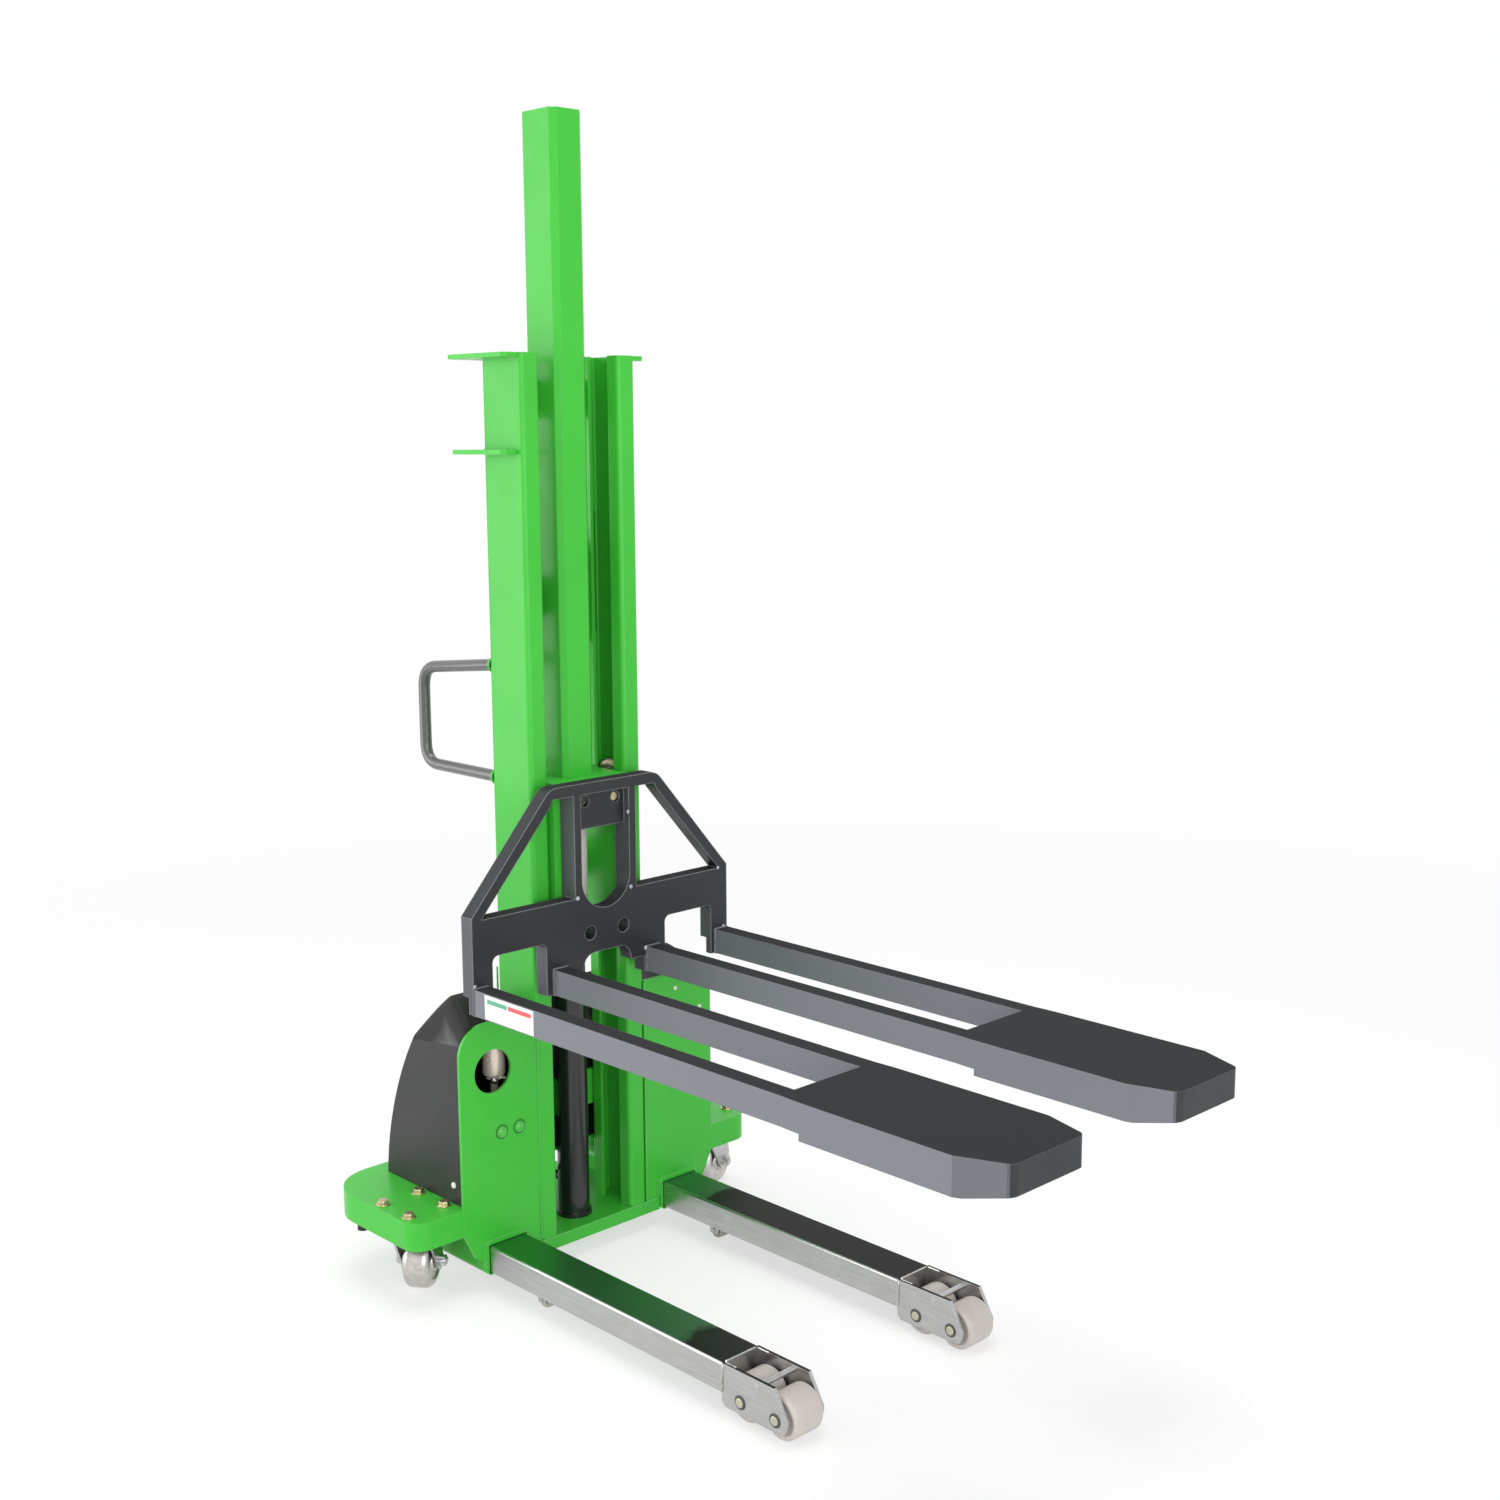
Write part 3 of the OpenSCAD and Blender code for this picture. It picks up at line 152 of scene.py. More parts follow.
def across(axis):
    """Two unit vectors square to an axis and to each other."""
    axis = unit(axis)
    helper = np.array([0.0, 0.0, 1.0]) if abs(axis[2]) < 0.9 else np.array([1.0, 0.0, 0.0])
    first = unit(np.cross(helper, axis))
    return first, np.cross(axis, first)


def circle(sides):
    """Angles of a full turn in even steps."""
    return np.linspace(0, 2 * np.pi, sides, endpoint=False)


def ring_about(axis, t):
    """Directions square to an axis at the angles t: cos t * e1 + sin t * e2."""
    e1, e2 = across(axis)
    return np.cos(t)[:, None] * e1 + np.sin(t)[:, None] * e2


def turned(profile, centre, axis, sides=64, closed=False):
    """A turned shape: point = centre + height * axis + radius * (cos t * e1 + sin t * e2)."""
    ring = ring_about(axis, circle(sides))
    profile = numbers(profile)
    grid = (numbers(centre) + profile[:, 1, None, None] * unit(axis)
            + profile[:, 0, None, None] * ring[None])
    return grid, closed, True


def rounded(corners, radius, steps=5):
    """A profile whose corners are rounded: each corner becomes a quadratic curve between two points
    that lie at most radius away from it on its two edges."""
    p = numbers(corners)
    out = [p[:1]]
    for a, b, c in zip(p[:-2], p[1:-1], p[2:]):
        da, dc = a - b, c - b
        la, lc = np.linalg.norm(da), np.linalg.norm(dc)
        r = min(radius, 0.49 * la, 0.49 * lc)
        s = np.linspace(0, 1, steps)[:, None]
        out.append((1 - s) ** 2 * (b + da / la * r) + 2 * s * (1 - s) * b + s ** 2 * (b + dc / lc * r))
    out.append(p[-1:])
    return np.concatenate(out)


def tube(path, radius, sides=20):
    """A tube along a path: a ring square to the path at each point, and a point at both ends.
    The ring's axes are carried from step to step by removing what leans along the path."""
    path = numbers(path)
    heading = unit(np.gradient(path, axis=0))
    e1 = np.empty_like(path)
    e1[0] = across(heading[0])[0]
    for k in range(1, len(path)):
        e1[k] = unit(e1[k - 1] - heading[k] * np.dot(e1[k - 1], heading[k]))
    e2 = np.cross(heading, e1)
    t = circle(sides)
    radius = np.broadcast_to(numbers(radius), (len(path),))
    ring = np.cos(t)[None, :, None] * e1[:, None] + np.sin(t)[None, :, None] * e2[:, None]
    grid = path[:, None] + radius[:, None, None] * ring
    caps = [np.repeat(path[k][None, None], sides, axis=1) for k in (0, -1)]
    return np.concatenate([caps[0], grid, caps[1]]), False, True


def soft_box(low, high, radius, steps=4):
    """A box with rounded edges: corner of the inner box plus radius times a direction on the sphere.
    Each quarter turn keeps its own corner, so flat faces lie between the quarters."""
    low, high = numbers(low), numbers(high)
    middle, half = (low + high) / 2, (high - low) / 2 - radius
    quarter = np.linspace(0, np.pi / 2, steps)
    t = np.concatenate([quarter + k * np.pi / 2 for k in range(4)])
    f = np.concatenate([quarter - np.pi / 2, quarter])[:, None]
    direction = np.stack(np.broadcast_arrays(np.cos(f) * np.cos(t), np.cos(f) * np.sin(t), np.sin(f)), axis=-1)
    corner = np.stack(np.broadcast_arrays(np.repeat([1, -1, -1, 1], steps), np.repeat([1, 1, -1, -1], steps),
                                          np.repeat([-1, 1], steps)[:, None]), axis=-1)
    grid = middle + corner * half + radius * direction
    ends = [np.repeat((middle + [0, 0, s * (half[2] + radius)])[None, None], len(t), axis=1) for s in (-1, 1)]
    return np.concatenate([ends[0], grid, ends[1]]), False, True


FREE = 99


def hexagon(profile, centre, axis, turn=0.0, sides=48):
    """A six-sided turned shape. Its radius at angle t is that of a hexagon, a / cos(t mod 60 - 30), but
    never more than the profile's third value. That chamfers the corners, and FREE is too wide to do so."""
    t = circle(sides)
    flat = 1 / np.cos((t + turn) % (np.pi / 3) - np.pi / 6)
    p = numbers(profile)
    radius = np.minimum(p[:, 0, None] * flat[None], p[:, 2, None])
    grid = (numbers(centre) + p[:, 1, None, None] * unit(axis)
            + radius[..., None] * ring_about(axis, t))
    return grid, False, True


print("helpers ready")

# %% [markdown]
# ## Finishes
# All finishes are Principled shaders with small procedural patterns in Object coordinates. Paint on a
# real truck is never flat: it has a faint orange peel, slightly uneven gloss, and edges that catch the
# light because they are rounded. A Bevel node gives the solid model's sharp edges that thin highlight.

# %% Material helpers
def principled(material):
    """The shader that every material starts with."""
    return material.node_tree.nodes["Principled BSDF"]


def new_material(name, colour, metallic=0.0, roughness=0.5, coat=0.0, specular=0.5):
    """A Principled material; values that are the same all over are set on the shader itself."""
    material = bpy.data.materials.new(name)
    material.use_nodes = True
    for key, value in {"Base Color": (*colour, 1.0), "Metallic": metallic, "Roughness": roughness,
                       "Coat Weight": coat, "Coat Roughness": 0.08, "Specular IOR Level": specular}.items():
        principled(material).inputs[key].default_value = value
    material.diffuse_color = (*colour, 1.0)
    return material


def node(owner, kind, operation=None, **inputs):
    """A new node in the tree of a material or of the world. Its named inputs are set, and a maths node gets
    its operation."""
    made = owner.node_tree.nodes.new(kind)
    if operation:
        made.operation = operation
    for key, value in inputs.items():
        made.inputs[key].default_value = value
    return made


def join(owner, a, a_socket, b, b_socket):
    """Links an output socket of one node to an input socket of another."""
    owner.node_tree.links.new(a.outputs[a_socket], b.inputs[b_socket])


def pattern(material, scale, detail, stretch=(1, 1, 1)):
    """A noise over Object coordinates, stretched by a Mapping node."""
    place = node(material, "ShaderNodeTexCoord")
    mapping = node(material, "ShaderNodeMapping", Scale=stretch)
    noise = node(material, "ShaderNodeTexNoise", Scale=scale, Detail=detail)
    join(material, place, "Object", mapping, "Vector")
    join(material, mapping, "Vector", noise, "Vector")
    return noise


def spread(material, source, socket, low, high, from_low=0.3, from_high=0.7):
    """Brings a pattern's values from one range to another."""
    span = node(material, "ShaderNodeMapRange",
                **{"From Min": from_low, "From Max": from_high, "To Min": low, "To Max": high})
    join(material, source, socket, span, "Value")
    return span


def tint(material, factor, colour_a, colour_b):
    """A colour that goes from one value to the other as the factor rises."""
    ramp = node(material, "ShaderNodeValToRGB")
    ramp.color_ramp.elements[0].color = (*colour_a, 1.0)
    ramp.color_ramp.elements[1].color = (*colour_b, 1.0)
    join(material, factor, "Result", ramp, "Fac")
    return ramp


def soft_edges(material, radius):
    """A Bevel node: the normal near an edge turns as if the edge were rounded."""
    bevel = node(material, "ShaderNodeBevel", Radius=radius)
    bevel.samples = 4
    return bevel


def surface(material, height, strength, distance, edge):
    """Feeds the shader's normal: a bump from a height pattern, over rounded edges of radius edge."""
    bump = node(material, "ShaderNodeBump", Strength=strength, Distance=distance)
    join(material, height, "Fac", bump, "Height")
    if edge:
        join(material, soft_edges(material, edge), "Normal", bump, "Normal")
    join(material, bump, "Normal", principled(material), "Normal")
    return material


def drifting(material, colour_noise, dark, light, gloss_noise, low, high, span=(0.3, 0.7)):
    """Colour goes from dark to light over one noise, and roughness from low to high over another."""
    tone = tint(material, spread(material, colour_noise, "Fac", 0, 1, *span), dark, light)
    join(material, tone, "Color", principled(material), "Base Color")
    join(material, spread(material, gloss_noise, "Fac", low, high), "Result", principled(material), "Roughness")


def mixed(material, factor, first, second):
    """A colour or a number between two, by a factor. Each is either a value or the socket that gives it."""
    blend = node(material, "ShaderNodeMix")
    blend.data_type, slots, result = ("FLOAT", (2, 3), 0) if isinstance(second, float) else ("RGBA", (6, 7), 2)
    join(material, factor, "Result", blend, 0)
    for slot, value in zip(slots, (first, second)):
        if isinstance(value, bpy.types.NodeSocket):
            material.node_tree.links.new(value, blend.inputs[slot])
        else:
            blend.inputs[slot].default_value = (*value, 1.0) if result else value
    return blend.outputs[result]


def overlay(material, name, factor, value):
    """Lets a value take over the shader's input of that name as the factor rises."""
    socket = principled(material).inputs[name]
    material.node_tree.links.new(mixed(material, factor, socket.links[0].from_socket, value), socket)


def components(material, kind):
    """A node that gives X, Y and Z of the Object coordinates or of the Normal."""
    parts = node(material, "ShaderNodeSeparateXYZ")
    join(material, node(material, "ShaderNodeTexCoord"), kind, parts, "Vector")
    return parts


def facing(material, axis, colour, rough, start=0.80, end=0.97):
    """A second tone on faces that look one way: the mix factor is the absolute part of the surface's own normal
    along the axis, brought from start..end to 0..1. This tone is painted light and shade: darker tops are painted
    shade, lighter sides are painted light, and a light band is a painted highlight."""
    size = node(material, "ShaderNodeMath", "ABSOLUTE")
    join(material, components(material, "Normal"), axis, size, 0)
    share = spread(material, size, 0, 0, 1, start, end)
    overlay(material, "Base Color", share, colour)
    overlay(material, "Roughness", share, rough)


def rim(material, colour, radius, strength):
    """A painted highlight: lighter paint along edges. At an edge the Bevel node turns the normal away from the
    face's own, so the mix factor is one minus the product of the two, spread to 0..1."""
    own = node(material, "ShaderNodeNewGeometry")
    alike = node(material, "ShaderNodeVectorMath", "DOT_PRODUCT")
    join(material, soft_edges(material, radius), "Normal", alike, 0)
    join(material, own, "Normal", alike, 1)
    overlay(material, "Base Color", spread(material, alike, "Value", strength, 0.0, 0.80, 0.985), colour)


def paint(name, light, dark, rough, coat=0.3, peel=0.12, edge=0.0012, specular=0.5):
    """Sprayed paint: colour drifts slowly between two tones, gloss drifts, the skin has orange peel."""
    material = new_material(name, light, roughness=rough, coat=coat, specular=specular)
    drifting(material, pattern(material, 3.0, 4.0), dark, light,
             pattern(material, 14.0, 6.0), rough * 0.85, rough * 1.2)
    return surface(material, pattern(material, 420.0, 2.0), peel, 0.0004, edge)


# %% Paints and metals
GREEN = paint("green gloss paint", (0.052, 0.500, 0.042), (0.043, 0.450, 0.034), 0.36, coat=0.08, specular=0.30)
# Lighter green along the edges is a painted highlight.
rim(GREEN, (0.17, 0.66, 0.15), 0.0016, 0.80)
GREEN_WELD = paint("painted weld", (0.056, 0.49, 0.048), (0.046, 0.42, 0.038), 0.30, peel=0.3, edge=0.0)


def graphite(name, side, side_rough, edge, edge_radius, edge_strength):
    """Graphite paint with painted light on its sides, a painted highlight along its edges, and painted shade on
    its tops.
    """
    material = paint(name, (0.026, 0.028, 0.031), (0.019, 0.021, 0.024), 0.42, coat=0.0, peel=0.2,
                     edge=0.0026, specular=0.32)
    # Lighter sides are painted light, darker tops are painted shade, and lighter edges are a painted highlight.
    facing(material, "X", side, side_rough)
    facing(material, "Z", (0.012, 0.013, 0.015), 0.95)
    rim(material, edge, edge_radius, edge_strength)
    return material


# On both graphites the side tone is painted light and the edge tone a painted highlight; the plate's edge
# highlight is wider and brighter.
GRAPHITE = graphite("graphite paint", (0.185, 0.193, 0.215), 0.34, (0.26, 0.27, 0.30), 0.0014, 0.7)
FRAME_PAINT = graphite("graphite paint, plate", (0.082, 0.087, 0.096), 0.36, (0.36, 0.37, 0.40), 0.0030, 1.0)
GRAPHITE_WELD = paint("graphite weld", (0.16, 0.165, 0.18), (0.05, 0.055, 0.06), 0.30, peel=0.5, edge=0.0)
BLACK_TUBE = paint("black enamel", (0.012, 0.012, 0.014), (0.008, 0.008, 0.009), 0.24, peel=0.05)
# The handle enamel is the black enamel made lighter to stand for its highlights: a painted highlight.
HANDLE_BLACK = paint("handle enamel", (0.088, 0.088, 0.090), (0.072, 0.072, 0.074), 0.30, coat=0.5, peel=0.05)
# A darker green for thin rings round the panel bolt domes: painted shade where the domes shade the panel.
GREEN_SHADE = paint("green painted shade round bolts", (0.016, 0.17, 0.013), (0.012, 0.13, 0.010), 0.5, coat=0.0, edge=0.0)


def metal(name, light, dark, rough, scale, stretch=(1, 1, 1), edge=0.0008, bump=0.05, metallic=1.0):
    """Bare or plated metal: fine lines along one direction in tone, roughness and height."""
    material = new_material(name, light, metallic=metallic, roughness=rough)
    lines = pattern(material, scale, 6.0, stretch)
    drifting(material, lines, dark, light, pattern(material, 22.0, 4.0), rough * 0.7, rough * 1.35,
             (0.25, 0.75))
    return surface(material, lines, bump, 0.0005, edge)


GREEN_TO, ZINC_FROM, RAGGED, BORDER = 0.44, 0.45, 0.06, 0.012


def leg_top(material, border):
    """Tone of a leg's top, a painted reflection: green of the chassis above it near the mast, fading with
    distance, a painted dark reflection beyond a ragged border, and plain zinc at the rear end, which the sleeve
    hides until the leg is pushed in. The border is a step in y, moved to and fro by a coarse noise."""
    parts = components(material, "Object")
    ragged = spread(material, pattern(material, 9.0, 5.0), "Fac", -RAGGED, RAGGED)
    where = node(material, "ShaderNodeMath", "ADD")
    join(material, parts, "Y", where, 0)
    join(material, ragged, "Result", where, 1)
    green = tint(material, spread(material, parts, "Y", 0, 1, border, ZINC_FROM),
                 (0.060, 0.150, 0.078), (0.42, 0.42, 0.42))
    nearest = green.color_ramp.elements.new((GREEN_TO - border) / (ZINC_FROM - border))
    nearest.color = (0.080, 0.300, 0.105, 1.0)
    dark_reflection = spread(material, where, 0, 0, 1, border - BORDER, border + BORDER)
    return mixed(material, dark_reflection, (0.010, 0.011, 0.010), green.outputs["Color"])


LEG_TONES = (0.52, 0.52, 0.51), (0.42, 0.42, 0.42), 0.30, 30.0, (8, 0.5, 8)
# Both leg tops carry a painted reflection; on the right leg the painted dark reflection reaches much further back.
LEG_ZINC = metal("bright zinc tube", *LEG_TONES, bump=0.025)
facing(LEG_ZINC, "Z", leg_top(LEG_ZINC, -0.095), 0.42)
LEG_ZINC_RIGHT = metal("zinc tube, painted dark reflection on top", *LEG_TONES, bump=0.025)
facing(LEG_ZINC_RIGHT, "Z", leg_top(LEG_ZINC_RIGHT, 0.307), 0.5)
PLATE_ZINC = metal("zinc plate", (0.58, 0.58, 0.58), (0.44, 0.44, 0.45), 0.36, 90.0)
CHROME = metal("chromed steel", (0.80, 0.79, 0.77), (0.74, 0.73, 0.71), 0.10, 80.0, (1, 1, 0.2), bump=0.02)
# The sleeve's pale cream tone, nearly without metal, is a painted reflection of the white surround.
SLEEVE = metal("satin sleeve", (0.88, 0.82, 0.78), (0.80, 0.74, 0.70), 0.35, 80.0, (1, 1, 0.2), bump=0.02,
               metallic=0.1)
YELLOW_ZINC = metal("yellow zinc", (0.60, 0.50, 0.26), (0.50, 0.44, 0.30), 0.32, 160.0)
PIN_ZINC = metal("pin head", (0.50, 0.50, 0.36), (0.40, 0.40, 0.30), 0.40, 160.0, metallic=0.3)
DARK_ZINC = metal("dark washer", (0.14, 0.14, 0.14), (0.08, 0.08, 0.08), 0.45, 160.0)
ROLLER_STEEL = metal("greased roller steel", (0.40, 0.36, 0.24), (0.30, 0.26, 0.17), 0.40, 70.0)
WHEEL_STEEL = metal("grey caster tread", (0.66, 0.64, 0.60), (0.46, 0.44, 0.42), 0.34, 110.0)


def moulded(name, light, dark, rough, grain=300.0, strength=0.15, edge=0.001, specular=0.5):
    """Moulded plastic or rubber: a slow drift in tone under a fine grain in height and gloss."""
    material = new_material(name, light, roughness=rough, specular=specular)
    fine = pattern(material, grain, 2.0)
    drifting(material, pattern(material, 9.0, 5.0), dark, light, fine, rough * 0.85, rough * 1.15)
    return surface(material, fine, strength, 0.0003, edge)


COVER = moulded("black cover", (0.040, 0.040, 0.040), (0.032, 0.032, 0.033), 0.40, 500.0, 0.06, specular=0.24)
# On the black cover a light band just above the crease is a painted highlight, and the darker upper surfaces are
# painted shade.
facing(COVER, "Z", (0.115, 0.115, 0.115), 0.36, 0.12, 0.22)
facing(COVER, "Z", (0.010, 0.010, 0.010), 0.55, 0.22, 0.38)
BLACK_PLASTIC = moulded("black plastic", (0.022, 0.022, 0.023), (0.016, 0.016, 0.017), 0.45)
RUBBER = moulded("black rubber", (0.016, 0.016, 0.016), (0.011, 0.011, 0.011), 0.7, 200.0, 0.3)
NYLON = moulded("white nylon", (0.54, 0.50, 0.465), (0.47, 0.43, 0.40), 0.42, 120.0, 0.12)
SCREW_NYLON = moulded("cream screw cap", (0.82, 0.80, 0.74), (0.76, 0.73, 0.66), 0.4, 400.0, 0.05, edge=0.0005)
RED_PLASTIC = moulded("red button", (0.60, 0.020, 0.014), (0.52, 0.016, 0.012), 0.3, 500.0, 0.04)
GREEN_PLASTIC = moulded("green button", (0.020, 0.34, 0.06), (0.016, 0.28, 0.05), 0.3, 500.0, 0.04)
BRIGHT_NUT = metal("bright nut", (0.82, 0.81, 0.79), (0.74, 0.73, 0.71), 0.24, 120.0, edge=0.0004)
CAN_PLATE = metal("nickel can", (0.96, 0.84, 0.73), (0.76, 0.65, 0.56), 0.30, 90.0, (1, 1, 0.04), edge=0.0004,
                  metallic=0.35)
WELD_ZINC = metal("zinc weld", (0.62, 0.62, 0.60), (0.40, 0.40, 0.38), 0.30, 200.0, edge=0.0, bump=0.2)
BRIGHT_WELD = paint("weld drop", (0.50, 0.51, 0.52), (0.30, 0.31, 0.32), 0.30, coat=0.2, peel=0.4, edge=0.0)
STRIP_WHITE = moulded("white film", (0.86, 0.86, 0.87), (0.82, 0.82, 0.83), 0.35, 600.0, 0.03, edge=0.0)
STRIP_GREEN = moulded("green film", (0.10, 0.42, 0.26), (0.09, 0.38, 0.23), 0.35, 600.0, 0.03, edge=0.0)
STRIP_RED = moulded("red film", (0.80, 0.09, 0.10), (0.74, 0.08, 0.09), 0.35, 600.0, 0.03, edge=0.0)
print("finishes:", len(bpy.data.materials))

# %% [markdown]
# ## Finishes on the solid model
# Most plates, tubes and channels are already the right shape, so they only get their finish. The nodes
# are listed by finish, in the words of a painter who masks the truck before spraying it.

# %% Dress the nodes
def pairs(*stems):
    """Names of nodes that come as a left and a right one."""
    return [f"{stem}_{side}" for stem in stems for side in ("left", "right")]


finish_of = {
    GREEN: ["base_plate", "power_deck", "mast_plates", "mast_ties", "panel_bolts", "lift_frame", "lift_column",
            *pairs("leg_sleeve", "front_panel", "caster_bracket", "mast_channel")],
    GRAPHITE: pairs("fork"),
    FRAME_PAINT: ["carriage_frame"],
    BLACK_TUBE: ["lift_cylinder", "pump_motor"],
    HANDLE_BLACK: ["handles"],
    LEG_ZINC: ["leg_left"],
    LEG_ZINC_RIGHT: ["leg_right"],
    PLATE_ZINC: ["pump_block", "caster_plates", "ram_nut", "key_switch", *pairs("leg_clamp", "caster_yoke")],
    CHROME: ["lift_ram"],
    SLEEVE: ["guide_sleeve"],
    YELLOW_ZINC: ["caster_bolts", "solenoid", *pairs("leg_axles")],
    ROLLER_STEEL: pairs("mast_roller_upper", "mast_roller_lower"),
    WHEEL_STEEL: pairs("caster_wheel"),
    COVER: ["rear_cover"],
    BLACK_PLASTIC: ["oil_tank", "battery", "control_box", "lower_button", "limit_switch"],
    RUBBER: ["pressure_hose", "rubber_stops"],
    NYLON: [f"{wheel}_{end}" for wheel in pairs("load_wheel") for end in ("front", "rear")] + pairs("mid_roller"),
    SCREW_NYLON: ["cover_screws"],
    RED_PLASTIC: ["emergency_button"],
    GREEN_PLASTIC: ["raise_button"],
}
dressed = set()
for finish, names in finish_of.items():
    for name in names:
        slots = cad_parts[name].data.materials
        slots.clear()
        slots.append(finish)
        dressed.add(name)
print("dressed nodes:", len(dressed), "left plain:", sorted(set(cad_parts) - dressed))

# %% [markdown]
# ## Rear cover
# A moulded hood hides the pump, the tank and the battery. Seen from the side its back is a superellipse,
# and above a crease its long side edges are drawn in. A sunken shelf lies beside the mast, and the top
# sinks to the panels' height in front. It could be sculpted, but a formula keeps both sides alike and its
# rows follow the crease. Solidify then gives the sheet its wall, inwards from the skin.

# %% Cover formula
PANEL_BACK, COVER_BACK, DECK, COVER_TOP = 6.0, 261.0, 170.0, 576.0
COVER_HALF, SHOULDER, EDGE = 293.0, 50.0, 13.0
FULLNESS, CREASE, FALL = 1.66, 469.0, 0.13
NOTCH_HALF, NOTCH_BACK = 134.5, 128.0
SHELF_HALF, SHELF_TOP = 222.0, 500.0
FRONT_TOP, FRONT_RISE, FRONT_RUN, SOFT = 500.0, 46.0, 105.0, 6.0
SHELF_COLUMNS, NOTCH_COLUMNS, NOTCH_ROWS, REAR_ROWS = 4, 4, 22, 33


def cover_side(t):
    """Side view of the hood: depth grows with sin t and height with cos t, both to the power 2 / FULLNESS."""
    sweep = np.stack([np.sin(t), np.cos(t)], axis=-1).clip(0, 1) ** (2 / FULLNESS)
    return np.array([PANEL_BACK, DECK]) + sweep * np.array([COVER_BACK - PANEL_BACK, COVER_TOP - DECK])


def cover_crease(t):
    """Where the shoulder that starts at angle t meets the flat side: a step into the hood, square to the
    side view, until the sloping crease line is reached. Near the panels the hood's top sinks to their
    height: it is the softened lesser of the side view and a quarter sine that rises from them."""
    at = cover_side(t)
    slope = cover_side(np.minimum(t + 0.0035, np.pi / 2)) - cover_side(np.maximum(t - 0.0035, 0))
    slope[0], slope[-1] = (1, 0), (0, -1)
    inward = unit(np.stack([slope[:, 1], -slope[:, 0]], axis=-1))
    front = FRONT_TOP + FRONT_RISE * np.sin(np.pi / 2 * np.clip((at[:, 0] - PANEL_BACK) / FRONT_RUN, 0, 1))
    at[:, 1] = -SOFT * np.logaddexp(-at[:, 1] / SOFT, -front / SOFT)
    reach = (at[:, 1] - CREASE + FALL * (at[:, 0] - PANEL_BACK)) / (-inward[:, 1] - FALL * inward[:, 0])
    free = at + np.maximum(EDGE, reach)[:, None] * inward
    y = np.maximum(free[:, 0], PANEL_BACK + 0.4 * (at[:, 0] - PANEL_BACK))
    z = np.where(reach > EDGE, CREASE - FALL * (y - PANEL_BACK), free[:, 1])
    return at, np.stack([y, z], axis=-1)


def cover_grid(t, steps=18):
    """Rows along t; in each row the flat side, the shoulder, the level middle and the same mirrored."""
    at, crease = cover_crease(t)
    part = np.linalg.norm(crease - at, axis=-1) / (COVER_TOP - CREASE)
    draw = EDGE + (SHOULDER - EDGE) * np.minimum(1, part)
    rise = np.array([0, 0.004, 0.25, 0.5, 0.75])
    foot = np.stack(np.broadcast_arrays(-COVER_HALF, crease[:, :1], DECK + rise * (crease[:, 1:] - DECK)), axis=-1)
    u = np.sin(np.linspace(0, np.pi / 2, steps + 1))
    bow = 0.5 * u + 0.5 * (1 - np.sqrt(1 - u ** 2))
    curve = crease[:, None] + u[None, :, None] * (at - crease)[:, None]
    shoulder = np.concatenate([-COVER_HALF + draw[:, None, None] * bow[None, :, None], curve], axis=-1)
    share = np.linspace(0, 1, 5)[1:]
    start = -COVER_HALF + draw[:, None]
    fixed = np.concatenate([np.linspace(-SHELF_HALF, -NOTCH_HALF, SHELF_COLUMNS + 1)[1:],
                            np.linspace(-NOTCH_HALF, NOTCH_HALF, 2 * NOTCH_COLUMNS + 1)[1:NOTCH_COLUMNS + 1]])
    x = np.concatenate([start + share * (-SHELF_HALF - start), np.repeat(fixed[None], len(t), axis=0)], axis=1)
    level = np.stack(np.broadcast_arrays(x, at[:, :1], at[:, 1:]), axis=-1)
    left = np.concatenate([foot, shoulder, level], axis=1)
    right = left[:, -2::-1] * np.array([-1, 1, 1])
    return np.concatenate([left, right], axis=1)


# %% Cover piece
notch_angle = math.asin(((NOTCH_BACK - PANEL_BACK) / (COVER_BACK - PANEL_BACK)) ** (FULLNESS / 2))
angles = np.concatenate([np.linspace(0, notch_angle, NOTCH_ROWS),
                         np.linspace(notch_angle, np.pi / 2, REAR_ROWS + 1)[1:]])
hood = cover_grid(angles)
columns = hood.shape[1]
mast_near, mast_far = columns // 2 - NOTCH_COLUMNS, columns // 2 + NOTCH_COLUMNS
near, far = mast_near - SHELF_COLUMNS, mast_far + SHELF_COLUMNS
front = slice(NOTCH_ROWS)
keep = np.ones((len(angles) - 1, columns - 1), dtype=bool)
keep[:NOTCH_ROWS - 1, near:far] = False


def curtain(edge, low, high=None):
    """A wall that hangs from an edge line, or from the height high below it, down to the height low."""
    top, foot = edge.copy(), edge.copy()
    foot[:, 2] = low
    if high is not None:
        top[:, 2] = high
    return np.stack([top, foot], axis=1), False, False


def shelf(first, last):
    """The sunken shelf beside the mast: the hood's rows from one column to another, laid level."""
    plate = hood[front, first:last + 1].copy()
    plate[..., 2] = SHELF_TOP
    return plate, False, False


cover = make_piece("cover_shell", [
    (hood, False, False, keep),
    curtain(hood[front, near], SHELF_TOP), curtain(hood[front, far], SHELF_TOP),
    curtain(hood[NOTCH_ROWS - 1, near:far + 1], SHELF_TOP),
    shelf(near, mast_near), shelf(mast_far, far),
    curtain(hood[front, mast_near], DECK, SHELF_TOP), curtain(hood[front, mast_far], DECK, SHELF_TOP),
    curtain(hood[NOTCH_ROWS - 1, mast_near:mast_far + 1], DECK, SHELF_TOP)],
    COVER, "chassis", ("rear_cover",), sharp=14.5)
wall = cover.modifiers.new("wall", "SOLIDIFY")
wall.thickness = 0.0035
wall.offset = -1.0
print("cover rows and columns:", hood.shape[:2])

